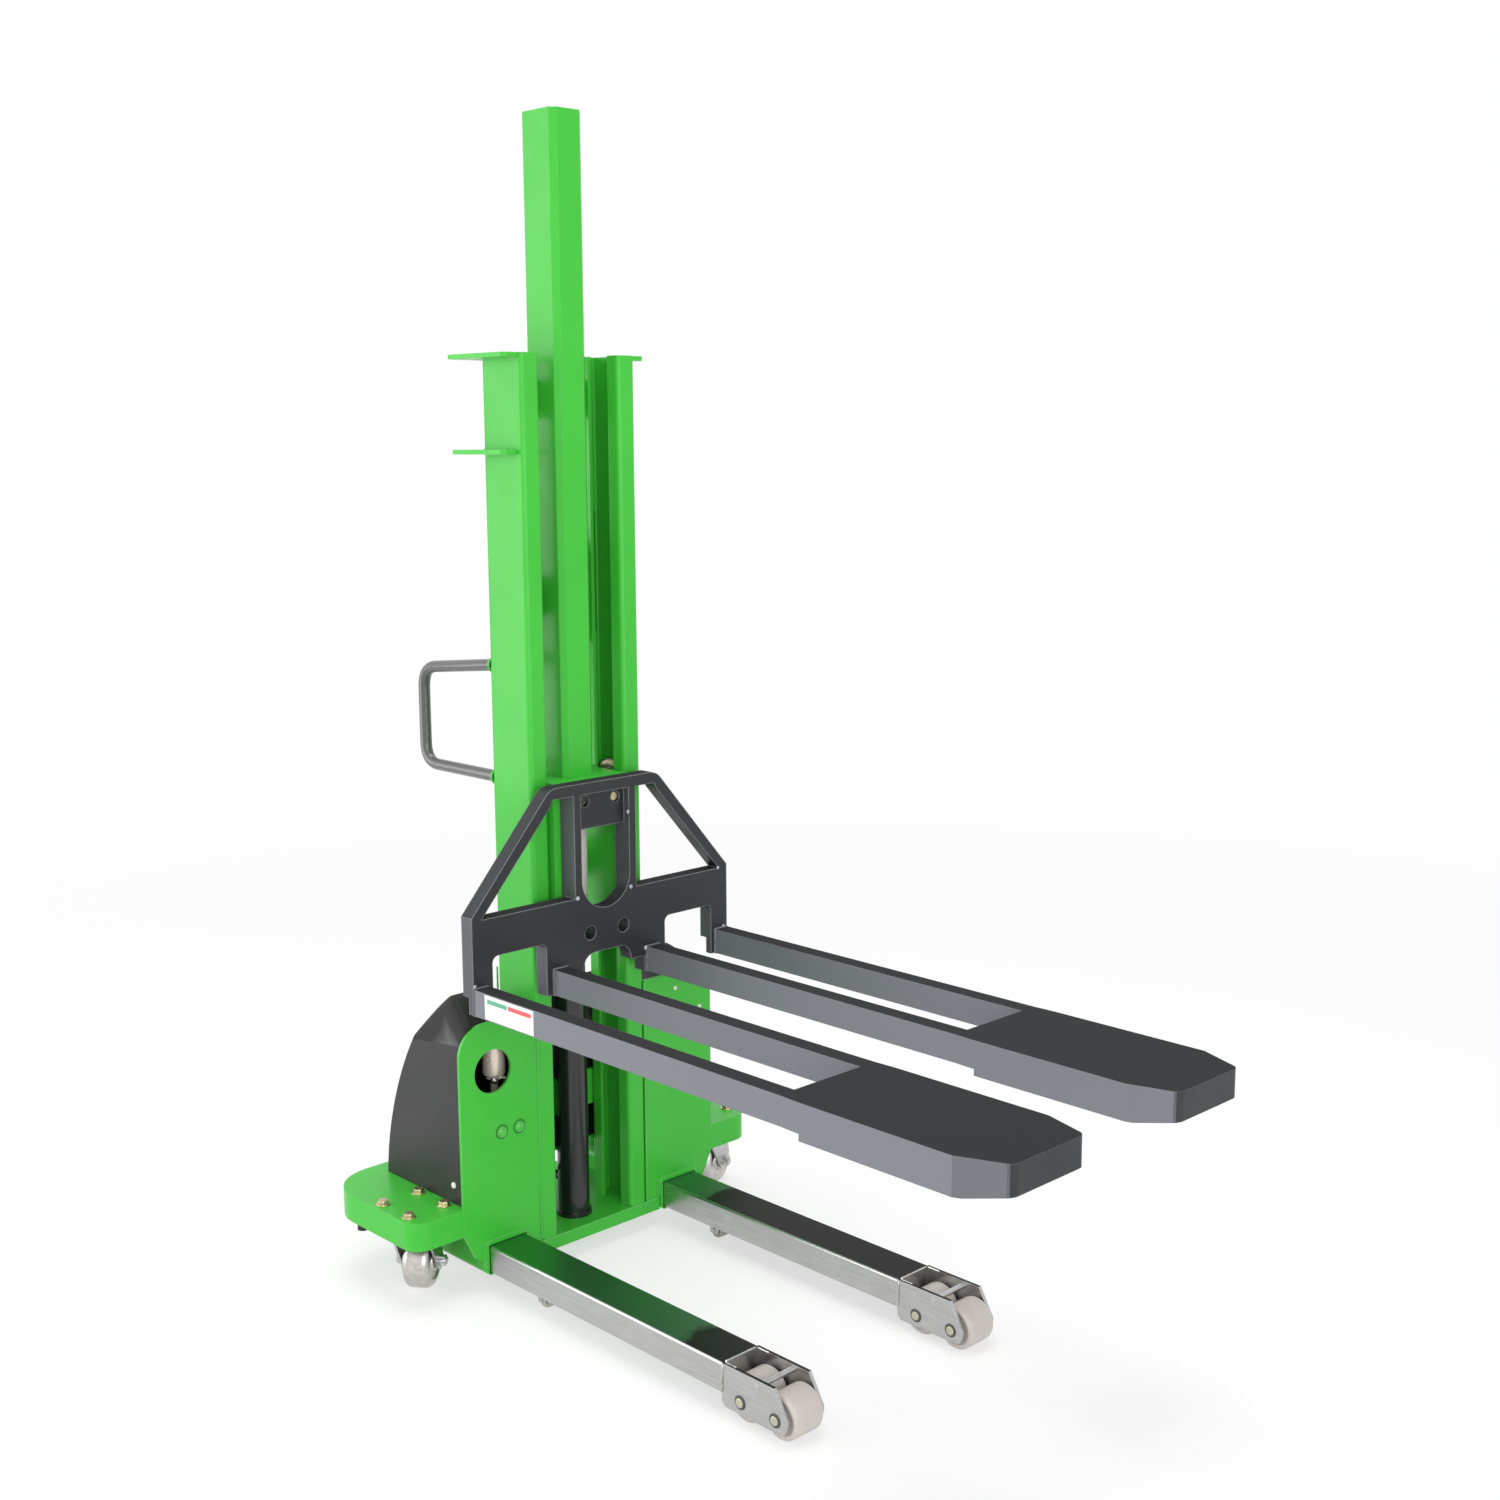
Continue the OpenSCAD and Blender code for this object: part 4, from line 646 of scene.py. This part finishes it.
# %% Cover screws
SCREW_Y, SCREW_Z, BOLT_Z = 36, 205, 293
PANEL_SCREWS = [(208, 471), (271, 421)]
PANEL_BOLTS = (212, 173)
dome = rounded([(0, 4.2), (4.5, 4.0), (6.0, 1.6), (6.0, 0.0), (0, 0.0)], 1.4)
small_dome = rounded([(0, 2.5), (3.2, 2.3), (4.5, 0.9), (4.5, 0.0), (0, 0.0)], 1.0)
make_piece("cover_screw_caps",
           [turned(dome, (s * COVER_HALF, SCREW_Y, SCREW_Z), (s, 0, 0), 32) for s in (-1, 1)]
           + [turned(small_dome, (x, 0, z), FORWARD, 28) for x, z in PANEL_SCREWS],
           SCREW_NYLON, "chassis", ("cover_screws",))
carriage_bolt = rounded([(0, 7.4), (5, 6.9), (9, 4.6), (11, 1.2), (11, 0), (0, 0)], 2.0, 6)
make_piece("panel_bolt_domes", [turned(carriage_bolt, (-x, 0, BOLT_Z), FORWARD, 40) for x in PANEL_BOLTS],
           GREEN_WELD, "chassis", ("panel_bolts",))
# A thin dark green ring round each bolt dome: painted shade.
shade_ring = rounded([(11.0, 0.5), (13.4, 0.4), (13.6, 0), (11.0, 0)], 0.15, 3)
make_piece("panel_bolt_shade_rings",
           [turned(shade_ring, (-x, -0.05, BOLT_Z), FORWARD, 40, True) for x in PANEL_BOLTS],
           GREEN_SHADE, "chassis")
print("screws and bolts on the panels: 6")

# %% [markdown]
# ## Handles
# Two bent steel tubes are welded to the back of the mast. A curve with a bevel would do, but a ring of
# points carried along the path gives closed ends and even rings in the bends. The weld at each end is a
# small ring whose thickness ripples like laid drops.

# %% Handles
MAST_BACK = 114.0
HANDLE_X, HANDLE_REAR, HANDLE_LOW, HANDLE_HIGH, HANDLE_FALL = 117.0, 336.0, 914.0, 1118.0, 22.0
HANDLE_BEND, HANDLE_R = 40, 11.0


def weld_ring(centre, axis, radius, thickness=2.6, sides=72):
    """A weld around a tube: a small circle carried round, thicker and thinner 14 times."""
    t, p = circle(sides), circle(10)[None, :, None]
    out = ring_about(axis, t)[:, None]
    small = thickness * (0.85 + 0.15 * np.cos(14 * t) + 0.05 * np.sin(5 * t))
    grid = (numbers(centre) + radius * out
            + small[:, None, None] * (np.cos(p) * out + np.sin(p) * unit(axis)))
    return grid, True, True


handle_tubes, handle_rings = [], []
for s in (-1, 1):
    x = s * HANDLE_X
    corners = [(x, MAST_BACK, HANDLE_LOW), (x, HANDLE_REAR, HANDLE_LOW),
               (x, HANDLE_REAR, HANDLE_HIGH - HANDLE_FALL), (x, MAST_BACK, HANDLE_HIGH)]
    handle_tubes.append(tube(rounded(corners, HANDLE_BEND, 14), HANDLE_R, 32))
    handle_rings += [weld_ring((x, MAST_BACK + 1, z), Y_AXIS, HANDLE_R + 1) for z in (HANDLE_LOW, HANDLE_HIGH)]
make_piece("handle_tubes", handle_tubes, HANDLE_BLACK, "chassis", ("handles",))
make_piece("handle_welds", handle_rings, GREEN_WELD, "chassis")
print("handles: 2")

# %% [markdown]
# ## Wheels and rollers
# Load wheels, mid rollers, casters and mast rollers are all turned parts: one profile of radius and
# height, swept once round its axle. A lathe makes the real ones in the same way. Rounded profile corners
# catch a thin light, and steel bearing rings sit in the nylon faces.

# %% Load wheels
LEG_X, LOAD_R, REAR_AXLE, FRONT_AXLE = 208.5, 37.5, 652.5, 729.0


def both_faces(half):
    """A wheel profile closed round its bore: the given outer half and the same half mirrored."""
    half = numbers(half)
    return np.concatenate([half, half[::-1] * np.array([1, -1])])


load_half = both_faces(rounded([(7.06, 31), (15.5, 31), (17, 28.6), (27, 28.6), (28.5, 31), (33, 31),
                                (37.5, 26.5), (37.5, 0)], 2.2, 6)[:-1])
bearing_half = [(8.0, 31.0), (8.6, 31.5), (14.2, 31.5), (14.8, 30.6), (14.8, 29.6), (8.0, 29.6)]
for side, s in SIDES:
    for where, axle in (("rear", REAR_AXLE), ("front", FRONT_AXLE)):
        body = f"load_wheel_{side}_{where}"
        centre = (s * LEG_X, -axle, LOAD_R)
        make_piece(f"load_tread_{side}_{where}", [turned(load_half, centre, X_AXIS, 96, True)],
                   NYLON, body, (body,))
        make_piece(f"load_bearing_{side}_{where}",
                   [turned(bearing_half, centre, (d, 0, 0), 40, True) for d in (-1, 1)],
                   PLATE_ZINC, body)
print("load wheels: 4, profile points", len(load_half))

# %% Wheel pins in the legs
pin = both_faces(rounded([(0, 44.9), (6.2, 44.6), (7.8, 43.6), (7.8, 42.2), (6.9, 42.2), (6.9, 0)], 0.8, 5))
pin_washer = rounded([(7.0, 41.0), (7.0, 42.3), (11.0, 42.3), (11.8, 41.8), (11.8, 41.0)], 0.4, 4)
rod = both_faces([(0, 42.0), (4.4, 42.0), (5.0, 41.4), (5.0, 0)])
ROD_Y, ROD_Z = -(REAR_AXLE + FRONT_AXLE) / 2, 79.0
for side, s in SIDES:
    centres = [(s * LEG_X, -axle, LOAD_R) for axle in (REAR_AXLE, FRONT_AXLE)]
    make_piece(f"wheel_pins_{side}", [turned(pin, c, X_AXIS, 36) for c in centres],
               PIN_ZINC, f"leg_{side}", (f"leg_axles_{side}",))
    make_piece(f"cross_rod_{side}", [turned(rod, (s * LEG_X, ROD_Y, ROD_Z), X_AXIS, 28)],
               PLATE_ZINC, f"leg_{side}")
    make_piece(f"pin_washers_{side}",
               [turned(pin_washer, c, (d, 0, 0), 36, True) for c in centres for d in (-1, 1)],
               DARK_ZINC, f"leg_{side}")
print("wheel pins: 4, cross rods: 2")

# %% Mid rollers and mast rollers
MID_ROLLER_Y, MID_ROLLER_Z, MAST_ROLLER_X, MAST_ROLLER_Y = -122, 19, 108.5, 57
mid_half = both_faces(rounded([(4.06, 12), (14, 12), (17, 10), (17, 0)], 1.6, 5)[:-1])
mast_half = both_faces(rounded([(15.06, 11), (23, 11), (24, 9.6), (36, 9.6), (37, 11), (45, 11),
                                (49, 7.5), (49, 0)], 1.2, 5)[:-1])
for side, s in SIDES:
    body = f"mid_roller_{side}"
    make_piece(f"mid_tread_{side}",
               [turned(mid_half, (s * LEG_X, MID_ROLLER_Y, MID_ROLLER_Z), X_AXIS, 56, True)],
               NYLON, body, (body,))
    for where, z in (("upper", 878.0), ("lower", 640.0)):
        body = f"mast_roller_{where}_{side}"
        make_piece(f"mast_track_{where}_{side}",
                   [turned(mast_half, (s * MAST_ROLLER_X, MAST_ROLLER_Y, z), X_AXIS, 96, True)],
                   ROLLER_STEEL, body, (body,))
print("rollers: 6")

# %% Casters
CASTER_X, CASTER_Y, TRAIL, CASTER_R, NUT_REACH = 348.0, 85.0, 38.0, 50.0, 35.6
caster_half = both_faces(rounded([(6.06, 27), (19, 27), (21.5, 21), (33, 21), (35, 25), (42, 25),
                                  (50, 17), (50, 0)], 5.0, 7)[:-1])
hub_cap = rounded([(6.4, 29.2), (11, 29.2), (13.5, 27.6), (13.5, 26.6), (6.4, 26.6)], 0.8)
nut = [(0, 0, FREE), (8.6, 0, FREE), (8.6, 6.4, 9.9), (8.2, 7.6, 9.0), (6.2, 7.6, FREE), (5.2, 8.8, FREE),
       (0, 8.8, FREE)]
for side, s, degrees in (("left", -1, 38.0), ("right", 1, 18.0)):
    turn = math.radians(degrees)
    axle = np.array([-math.sin(turn), math.cos(turn), 0.0])
    centre = np.array([s * CASTER_X + TRAIL * math.cos(turn), CASTER_Y + TRAIL * math.sin(turn), CASTER_R])
    body = f"caster_wheel_{side}"
    make_piece(f"caster_tread_{side}", [turned(caster_half, centre, axle, 112, True)],
               WHEEL_STEEL, body, (body,))
    make_piece(f"caster_hub_{side}", [turned(hub_cap, centre, d * axle, 40) for d in (-1, 1)],
               PLATE_ZINC, body)
    make_piece(f"caster_nuts_{side}",
               [hexagon(nut, centre + d * NUT_REACH * axle, d * axle, 0.3) for d in (-1, 1)],
               BRIGHT_NUT, f"caster_yoke_{side}")
print("casters: 2")

# %% [markdown]
# ## Bolts and nuts
# A bolt head is a hexagon whose corners are cut by a cone. In the formula the radius at each angle is the
# hexagon's, but never more than the cone's. Washers are short turned discs with a broken edge.

# %% Caster bolts and top nut
head = [(0, 0, FREE), (8.5, 0, FREE), (8.5, 5.0, 9.7), (8.1, 6.4, 8.7), (0, 6.6, FREE)]
washer = rounded([(0, 2), (12.4, 2), (13, 1.4), (13, 0), (0, 0)], 0.5, 4)
BOLT_DX, BOLT_DY, WASHER = 37.5, 40, 2
bolt_grids = []
for s in (-1, 1):
    for dx, dy, twist in ((-1, -1, 0.2), (1, -1, 0.9), (-1, 1, 0.5), (1, 1, 0.1)):
        at = np.array([s * CASTER_X + dx * BOLT_DX, CASTER_Y + dy * BOLT_DY, DECK])
        bolt_grids += [turned(washer, at, Z_AXIS, 32), hexagon(head, at + [0, 0, WASHER], Z_AXIS, twist)]
make_piece("caster_bolt_heads", bolt_grids, YELLOW_ZINC, "chassis", ("caster_bolts",))
top_nut = [(0, 0, FREE), (8.9, 0, FREE), (8.9, 6.8, 10.2), (8.4, 8.0, 9.0), (5.0, 8.0, FREE), (4.6, 9.9, FREE),
           (0, 9.9, FREE)]
make_piece("ram_top_nut", [hexagon(top_nut, (0, 64, 2080), Z_AXIS, 0.2)],
           PLATE_ZINC, "carriage", ("ram_nut",))
cross_bolt = [(0, 0, FREE), (8.0, 0, FREE), (8.0, 5.0, 9.1), (7.6, 6.2, 8.2), (0, 6.4, FREE)]
make_piece("cross_plate_bolt", [hexagon(cross_bolt, (35.5, -25.6, 876), FORWARD, 0.4)],
           YELLOW_ZINC, "carriage")
print("bolt grids:", len(bolt_grids))

# %% [markdown]
# ## Pump solenoid
# Through the round hole in the left panel a plated can shows: the switch of the pump motor. It is
# turned with a rolled rim, stands on a stud and carries two terminals.

# %% Solenoid
CAN = np.array([-188.0, 52.0, DECK])
can = rounded([(0, 285), (13, 285), (15, 283), (15, 277), (19, 276), (21, 273.5), (21, 216), (20, 213.5),
               (15, 213), (15, 205), (7, 204), (7, 8), (25, 6), (25, 0), (0, 0)], 1.6, 5)
terminal = rounded([(0, 12), (3.2, 12), (3.6, 8), (6, 8), (6, 3), (7.4, 2), (7.4, 0), (0, 0)], 0.6, 4)
make_piece("solenoid_can", [turned(can, CAN, Z_AXIS, 72)], CAN_PLATE, "chassis", ("solenoid",))
make_piece("solenoid_terminals", [turned(terminal, CAN + [-9, -11, 206], (-0.3, -1, 0.0), 24),
                                  turned(terminal, CAN + [8, -12, 207], (0.4, -1, 0.0), 24)],
           BRIGHT_NUT, "chassis")
print("solenoid stands at", CAN)

# %% [markdown]
# ## Control box
# The box on the mast's back holds two push buttons, a stop button and a key. It is hidden in the main
# view, so its look follows common boxes: rounded halves with a seam, four screws and plain bezels.

# %% Control box
BOX_BACK, BOX_LOW, BOX_HIGH, BUTTON_X, BUTTON_Z, STOP_Z = 182.0, 1140.0, 1330.0, 34.0, 1202.0, 1278.0
make_piece("control_case", [soft_box((-74, 122, BOX_LOW), (74, 158, BOX_HIGH), 5),
                            soft_box((-72.6, 157, BOX_LOW + 1.4), (72.6, BOX_BACK, BOX_HIGH - 1.4), 6)],
           BLACK_PLASTIC, "chassis", ("control_box",))
LOWER, RAISE, STOP, KEY = [numbers([x, BOX_BACK, z]) for z in (BUTTON_Z, STOP_Z) for x in (-BUTTON_X, BUTTON_X)]
bezel = rounded([(12.6, -1), (16.6, -1), (17.2, 1.6), (13.6, 2.2), (12.6, 1.0)], 0.5, 4)
key_bezel = rounded([(9.2, -1), (14, -1), (14.4, 1.8), (10, 2.4), (9.2, 1.2)], 0.5, 4)
make_piece("control_bezels",
           [turned(bezel, at, Y_AXIS, 48, True) for at in (LOWER, RAISE)]
           + [turned(key_bezel, at, Y_AXIS, 44, True) for at in (STOP, KEY)],
           PLATE_ZINC, "chassis")
case_screw = rounded([(0, 0.2), (1.2, 0.2), (1.6, 1.4), (3.6, 1.2), (4, 0), (0, -1)], 0.3, 4)
make_piece("control_case_screws", [turned(case_screw, (x, BOX_BACK, z), Y_AXIS, 24)
                                   for x in (-62, 62) for z in (BOX_LOW + 12, BOX_HIGH - 12)],
           PLATE_ZINC, "chassis")
cap = rounded([(0, 6.0), (9, 5.6), (11.6, 3.8), (11.6, -14), (0, -14)], 2.0, 6)
make_piece("raise_button_cap", [turned(cap, RAISE, Y_AXIS, 48)],
           GREEN_PLASTIC, "raise_button", ("raise_button",))
make_piece("lower_button_cap", [turned(cap, LOWER, Y_AXIS, 48)],
           BLACK_PLASTIC, "lower_button", ("lower_button",))
mushroom = rounded([(0, 22), (11, 21.2), (18.5, 17), (20, 12.5), (18.5, 9), (8, 8), (8, -16), (0, -16)], 3.0, 6)
make_piece("stop_button_cap", [turned(mushroom, STOP, Y_AXIS, 56)],
           RED_PLASTIC, "emergency_button", ("emergency_button",))
barrel = rounded([(0, 6), (8, 6), (9, 5), (9, -13), (0, -13)], 0.8, 4)
make_piece("key_and_barrel", [turned(barrel, KEY, Y_AXIS, 40),
                              soft_box(KEY + [-1.4, 4, -3.4], KEY + [1.4, 16, 3.4], 0.6),
                              soft_box(KEY + [-1.5, 15, -10], KEY + [1.5, 34, 10], 1.3)],
           PLATE_ZINC, "key_switch", ("key_switch",))
print("control box: 1")

# %% [markdown]
# ## Welds
# The frame is welded from plate and tube, and under the paint each seam shows as a row of small swells.
# A bead is a thin tube along the seam whose radius rises and falls every few millimetres. A boolean with
# the plates isn't needed: half of each bead simply lies inside them.

# %% Weld beads
def bead(path, radius=2.6, pitch=5.0, sides=8):
    """A weld bead: points at even steps along the path, radius = swell * (0.84 + 0.16 |sin|), with a slow
    drift from two unequal sines so that no two drops are alike."""
    path = numbers(path)
    length = np.concatenate([[0], np.cumsum(np.linalg.norm(np.diff(path, axis=0), axis=1))])
    s = np.linspace(0, length[-1], max(4, int(length[-1] / pitch * 4)))
    points = np.stack([np.interp(s, length, path[:, k]) for k in range(3)], axis=-1)
    swell = 0.84 + 0.16 * np.abs(np.sin(np.pi * s / pitch))
    swell = swell + 0.06 * np.sin(0.37 * s) + 0.04 * np.sin(0.11 * s + 1)
    ends = np.minimum(1, np.minimum(s, s[-1] - s) / (2 * radius) + 0.35)
    return tube(points, radius * swell * ends, sides)


def blob(at, axis, radius, height):
    """A drop of weld: a flat dome whose edge runs out thin."""
    profile = rounded([(0, height), (radius * 0.6, height * 0.9), (radius, 0), (0, -0.4)], radius * 0.4, 5)
    return turned(profile, at, axis, 18)


def in_plane(line, y):
    """A line of x and z values laid in the plane of one y."""
    return np.insert(line, 1, y, axis=1)


SLEEVE_IN, SLEEVE_OUT, SLEEVE_TOP, MAST_X = LEG_X - 47.6, LEG_X + 47.6, 95.6, 128.5
seams = []
for s in (-1, 1):
    hoop = rounded([(s * SLEEVE_IN, 62), (s * SLEEVE_IN, SLEEVE_TOP), (s * SLEEVE_OUT, SLEEVE_TOP),
                    (s * SLEEVE_OUT, 44)], 10, 8)
    x = s * (MAST_X + 0.2)
    seams += [bead([(s * MAST_X, -0.2, 62), (s * MAST_X, -0.2, 500)], 2.2), bead(in_plane(hoop, -0.3), 2.4),
              bead([(x, 10, 1657), (x, 112, 1657)], 2.4),
              bead([(s * (MAST_X + 0.1), 114.3, 180), (s * (MAST_X + 0.1), 114.3, 560)], 2.0)]
seams += [bead([(-MAST_X - 0.2, 20, 1500.2), (-MAST_X - 0.2, 110, 1500.2)], 2.4),
          bead([(-155, -0.2, 58.2), (155, -0.2, 58.2)], 2.0)]
make_piece("chassis_welds", seams, GREEN_WELD, "chassis")

RAIL_LOW, FORK_TOP, PLATE_FRONT = 539.0, 586.0, -49.5
rail_seams = []
for s in (-1, 1):
    for x0, x1 in ((94, 126), (268, 300)):
        loop = rounded([(s * x0, RAIL_LOW + 20), (s * x0, FORK_TOP), (s * x1, FORK_TOP), (s * x1, RAIL_LOW),
                        (s * x0, RAIL_LOW), (s * x0, RAIL_LOW + 21)], 3, 4)
        rail_seams.append(bead(in_plane(loop, PLATE_FRONT - 0.4), 2.6))
make_piece("carriage_welds", rail_seams, GRAPHITE_WELD, "carriage")
drops = [(53.4, 847, 4.2), (57.8, 706, 4.6), (-67.1, 705.5, 4.6), (277.3, 705.6, 4.0), (-118.4, 579, 5.0),
         (92.1, 583.7, 5.0), (-297, 590, 4.0), (291, 588, 4.0)]
make_piece("carriage_weld_drops", [blob((x, PLATE_FRONT, z), FORWARD, r, r * 0.5) for x, z, r in drops],
           BRIGHT_WELD, "carriage")
LEG_END, LEG_TOP = -611.5, 88.2
for side, s in SIDES:
    leg_seams = []
    for e in (-1, 1):
        x = s * LEG_X + e * 41.0
        leg_seams += [bead([(x, LEG_END, 40), (x + e * 0.5, LEG_END + 1, 55), (x, LEG_END - 1, 70),
                            (x, LEG_END, 87)], 3.0, 7.0),
                      bead([(x - e * 5.5, -613, LEG_TOP), (x - e * 5.5, -640, LEG_TOP)], 1.6)]
    leg_seams.append(bead([(s * LEG_X - 34, LEG_END, LEG_TOP), (s * LEG_X + 34, LEG_END, LEG_TOP)], 1.8, 6.0))
    make_piece(f"leg_welds_{side}", leg_seams, WELD_ZINC, f"leg_{side}")
print("weld beads:", len(seams) + len(rail_seams) + 2 * len(leg_seams))

# %% [markdown]
# ## Colour strip on the left fork
# A white strip with a green and a red bar sits at the root of the left fork. It stays without words.
# Each colour is a very thin plate with rounded edges, so it needs no image.

# %% Colour strip
STRIP_X = -300.0
make_piece("strip_white", [soft_box((STRIP_X - 0.5, -216, 541), (STRIP_X + 0.3, -81.6, 584), 0.3)],
           STRIP_WHITE, "carriage")
for colour, first, last, finish in (("green", -144, -89, STRIP_GREEN), ("red", -209.5, -147, STRIP_RED)):
    make_piece(f"strip_{colour}_bar", [soft_box((STRIP_X - 0.8, first, 570), (STRIP_X - 0.2, last, 577.5), 0.25)],
               finish, "carriage")
print("strip pieces: 3")

# %% [markdown]
# ## Floor, world and lamps
# A pale floor and an even white surround stand for the studio. The camera and mirror-like metal both see that
# white, while the diffuse light of the world is dimmer, so that the lamps give the faces their different tones:
# left faces bright, front faces as their colour is written, tops quieter. On the graphite paints and the cover
# these tones are partly painted light and painted shade as well.

# %% Stage and light
scene = bpy.context.scene
scene.view_settings.view_transform = "Standard"


def plain_rays(owner):
    """One for rays that see plain white (camera, glossy, transmission), nought for those that carry light."""
    rays = node(owner, "ShaderNodeLightPath")
    seen = node(owner, "ShaderNodeMath", "MAXIMUM")
    seen_too = node(owner, "ShaderNodeMath", "MAXIMUM")
    join(owner, rays, "Is Camera Ray", seen, 0)
    join(owner, rays, "Is Glossy Ray", seen, 1)
    join(owner, seen, 0, seen_too, 0)
    join(owner, rays, "Is Transmission Ray", seen_too, 1)
    return seen_too


def shaded(owner, factor, first, second, output):
    """Mixes two shaders by a factor into the output's surface."""
    choice = node(owner, "ShaderNodeMixShader")
    join(owner, factor, 0, choice, "Fac")
    join(owner, first, 0, choice, 1)
    join(owner, second, 0, choice, 2)
    join(owner, choice, 0, output, "Surface")


FADE_FROM, FADE_TO = 1.2, 5.0
floor_mesh = bpy.data.meshes.new("floor")
floor_mesh.from_pydata([(-40, -40, 0), (40, -40, 0), (40, 40, 0), (-40, 40, 0)], [], [(0, 1, 2, 3)])
floor_material = new_material("pale floor", (0.94, 0.94, 0.94), roughness=0.9, specular=0.1)
place = node(floor_material, "ShaderNodeTexCoord")
distance = node(floor_material, "ShaderNodeVectorMath", "LENGTH")
join(floor_material, place, "Object", distance, "Vector")
fade = spread(floor_material, distance, "Value", 0.62, 1.0, FADE_FROM, FADE_TO)
amount = node(floor_material, "ShaderNodeMath", "MULTIPLY")
join(floor_material, plain_rays(floor_material), 0, amount, 0)
join(floor_material, fade, "Result", amount, 1)
white = node(floor_material, "ShaderNodeEmission", Color=(1, 1, 1, 1), Strength=1.0)
shaded(floor_material, amount, principled(floor_material), white,
       floor_material.node_tree.nodes["Material Output"])
floor_mesh.materials.append(floor_material)
floor = bpy.data.objects.new("floor", floor_mesh)
scene.collection.objects.link(floor)

world = bpy.data.worlds.new("studio")
world.use_nodes = True
scene.world = world
world.node_tree.nodes.clear()
shown = node(world, "ShaderNodeBackground", Color=(1, 1, 1, 1), Strength=1.0)
lighting = node(world, "ShaderNodeBackground", Color=(1, 1, 1, 1), Strength=0.50)
shaded(world, plain_rays(world), lighting, shown, node(world, "ShaderNodeOutputWorld"))


def soft_lamp(name, at, towards, size, power):
    """A square area lamp that stands at a point and looks at another."""
    lamp = bpy.data.lights.new(name, "AREA")
    lamp.shape = "SQUARE"
    lamp.size = size
    lamp.energy = power
    stand = bpy.data.objects.new(name, lamp)
    away = unit(np.subtract(at, towards))
    turn = np.eye(4)
    turn[:3] = np.stack([*across(away), away, at], axis=-1)
    stand.matrix_world = Matrix(turn.tolist())
    scene.collection.objects.link(stand)


soft_lamp("key", (-2.6, -4.2, 2.2), (0, 0.1, 0.8), 3.0, 95.0)
soft_lamp("left rear", (-3.8, 3.0, 1.5), (0, 0, 0.9), 3.6, 120.0)
soft_lamp("overhead", (0.0, 0.2, 4.6), (0, 0, 0), 3.0, 125.0)
soft_lamp("front fill", (-0.4, -4.7, 0.5), (0, 0, 0.2), 2.2, 46.0)
print("lamps:", len(bpy.data.lights))
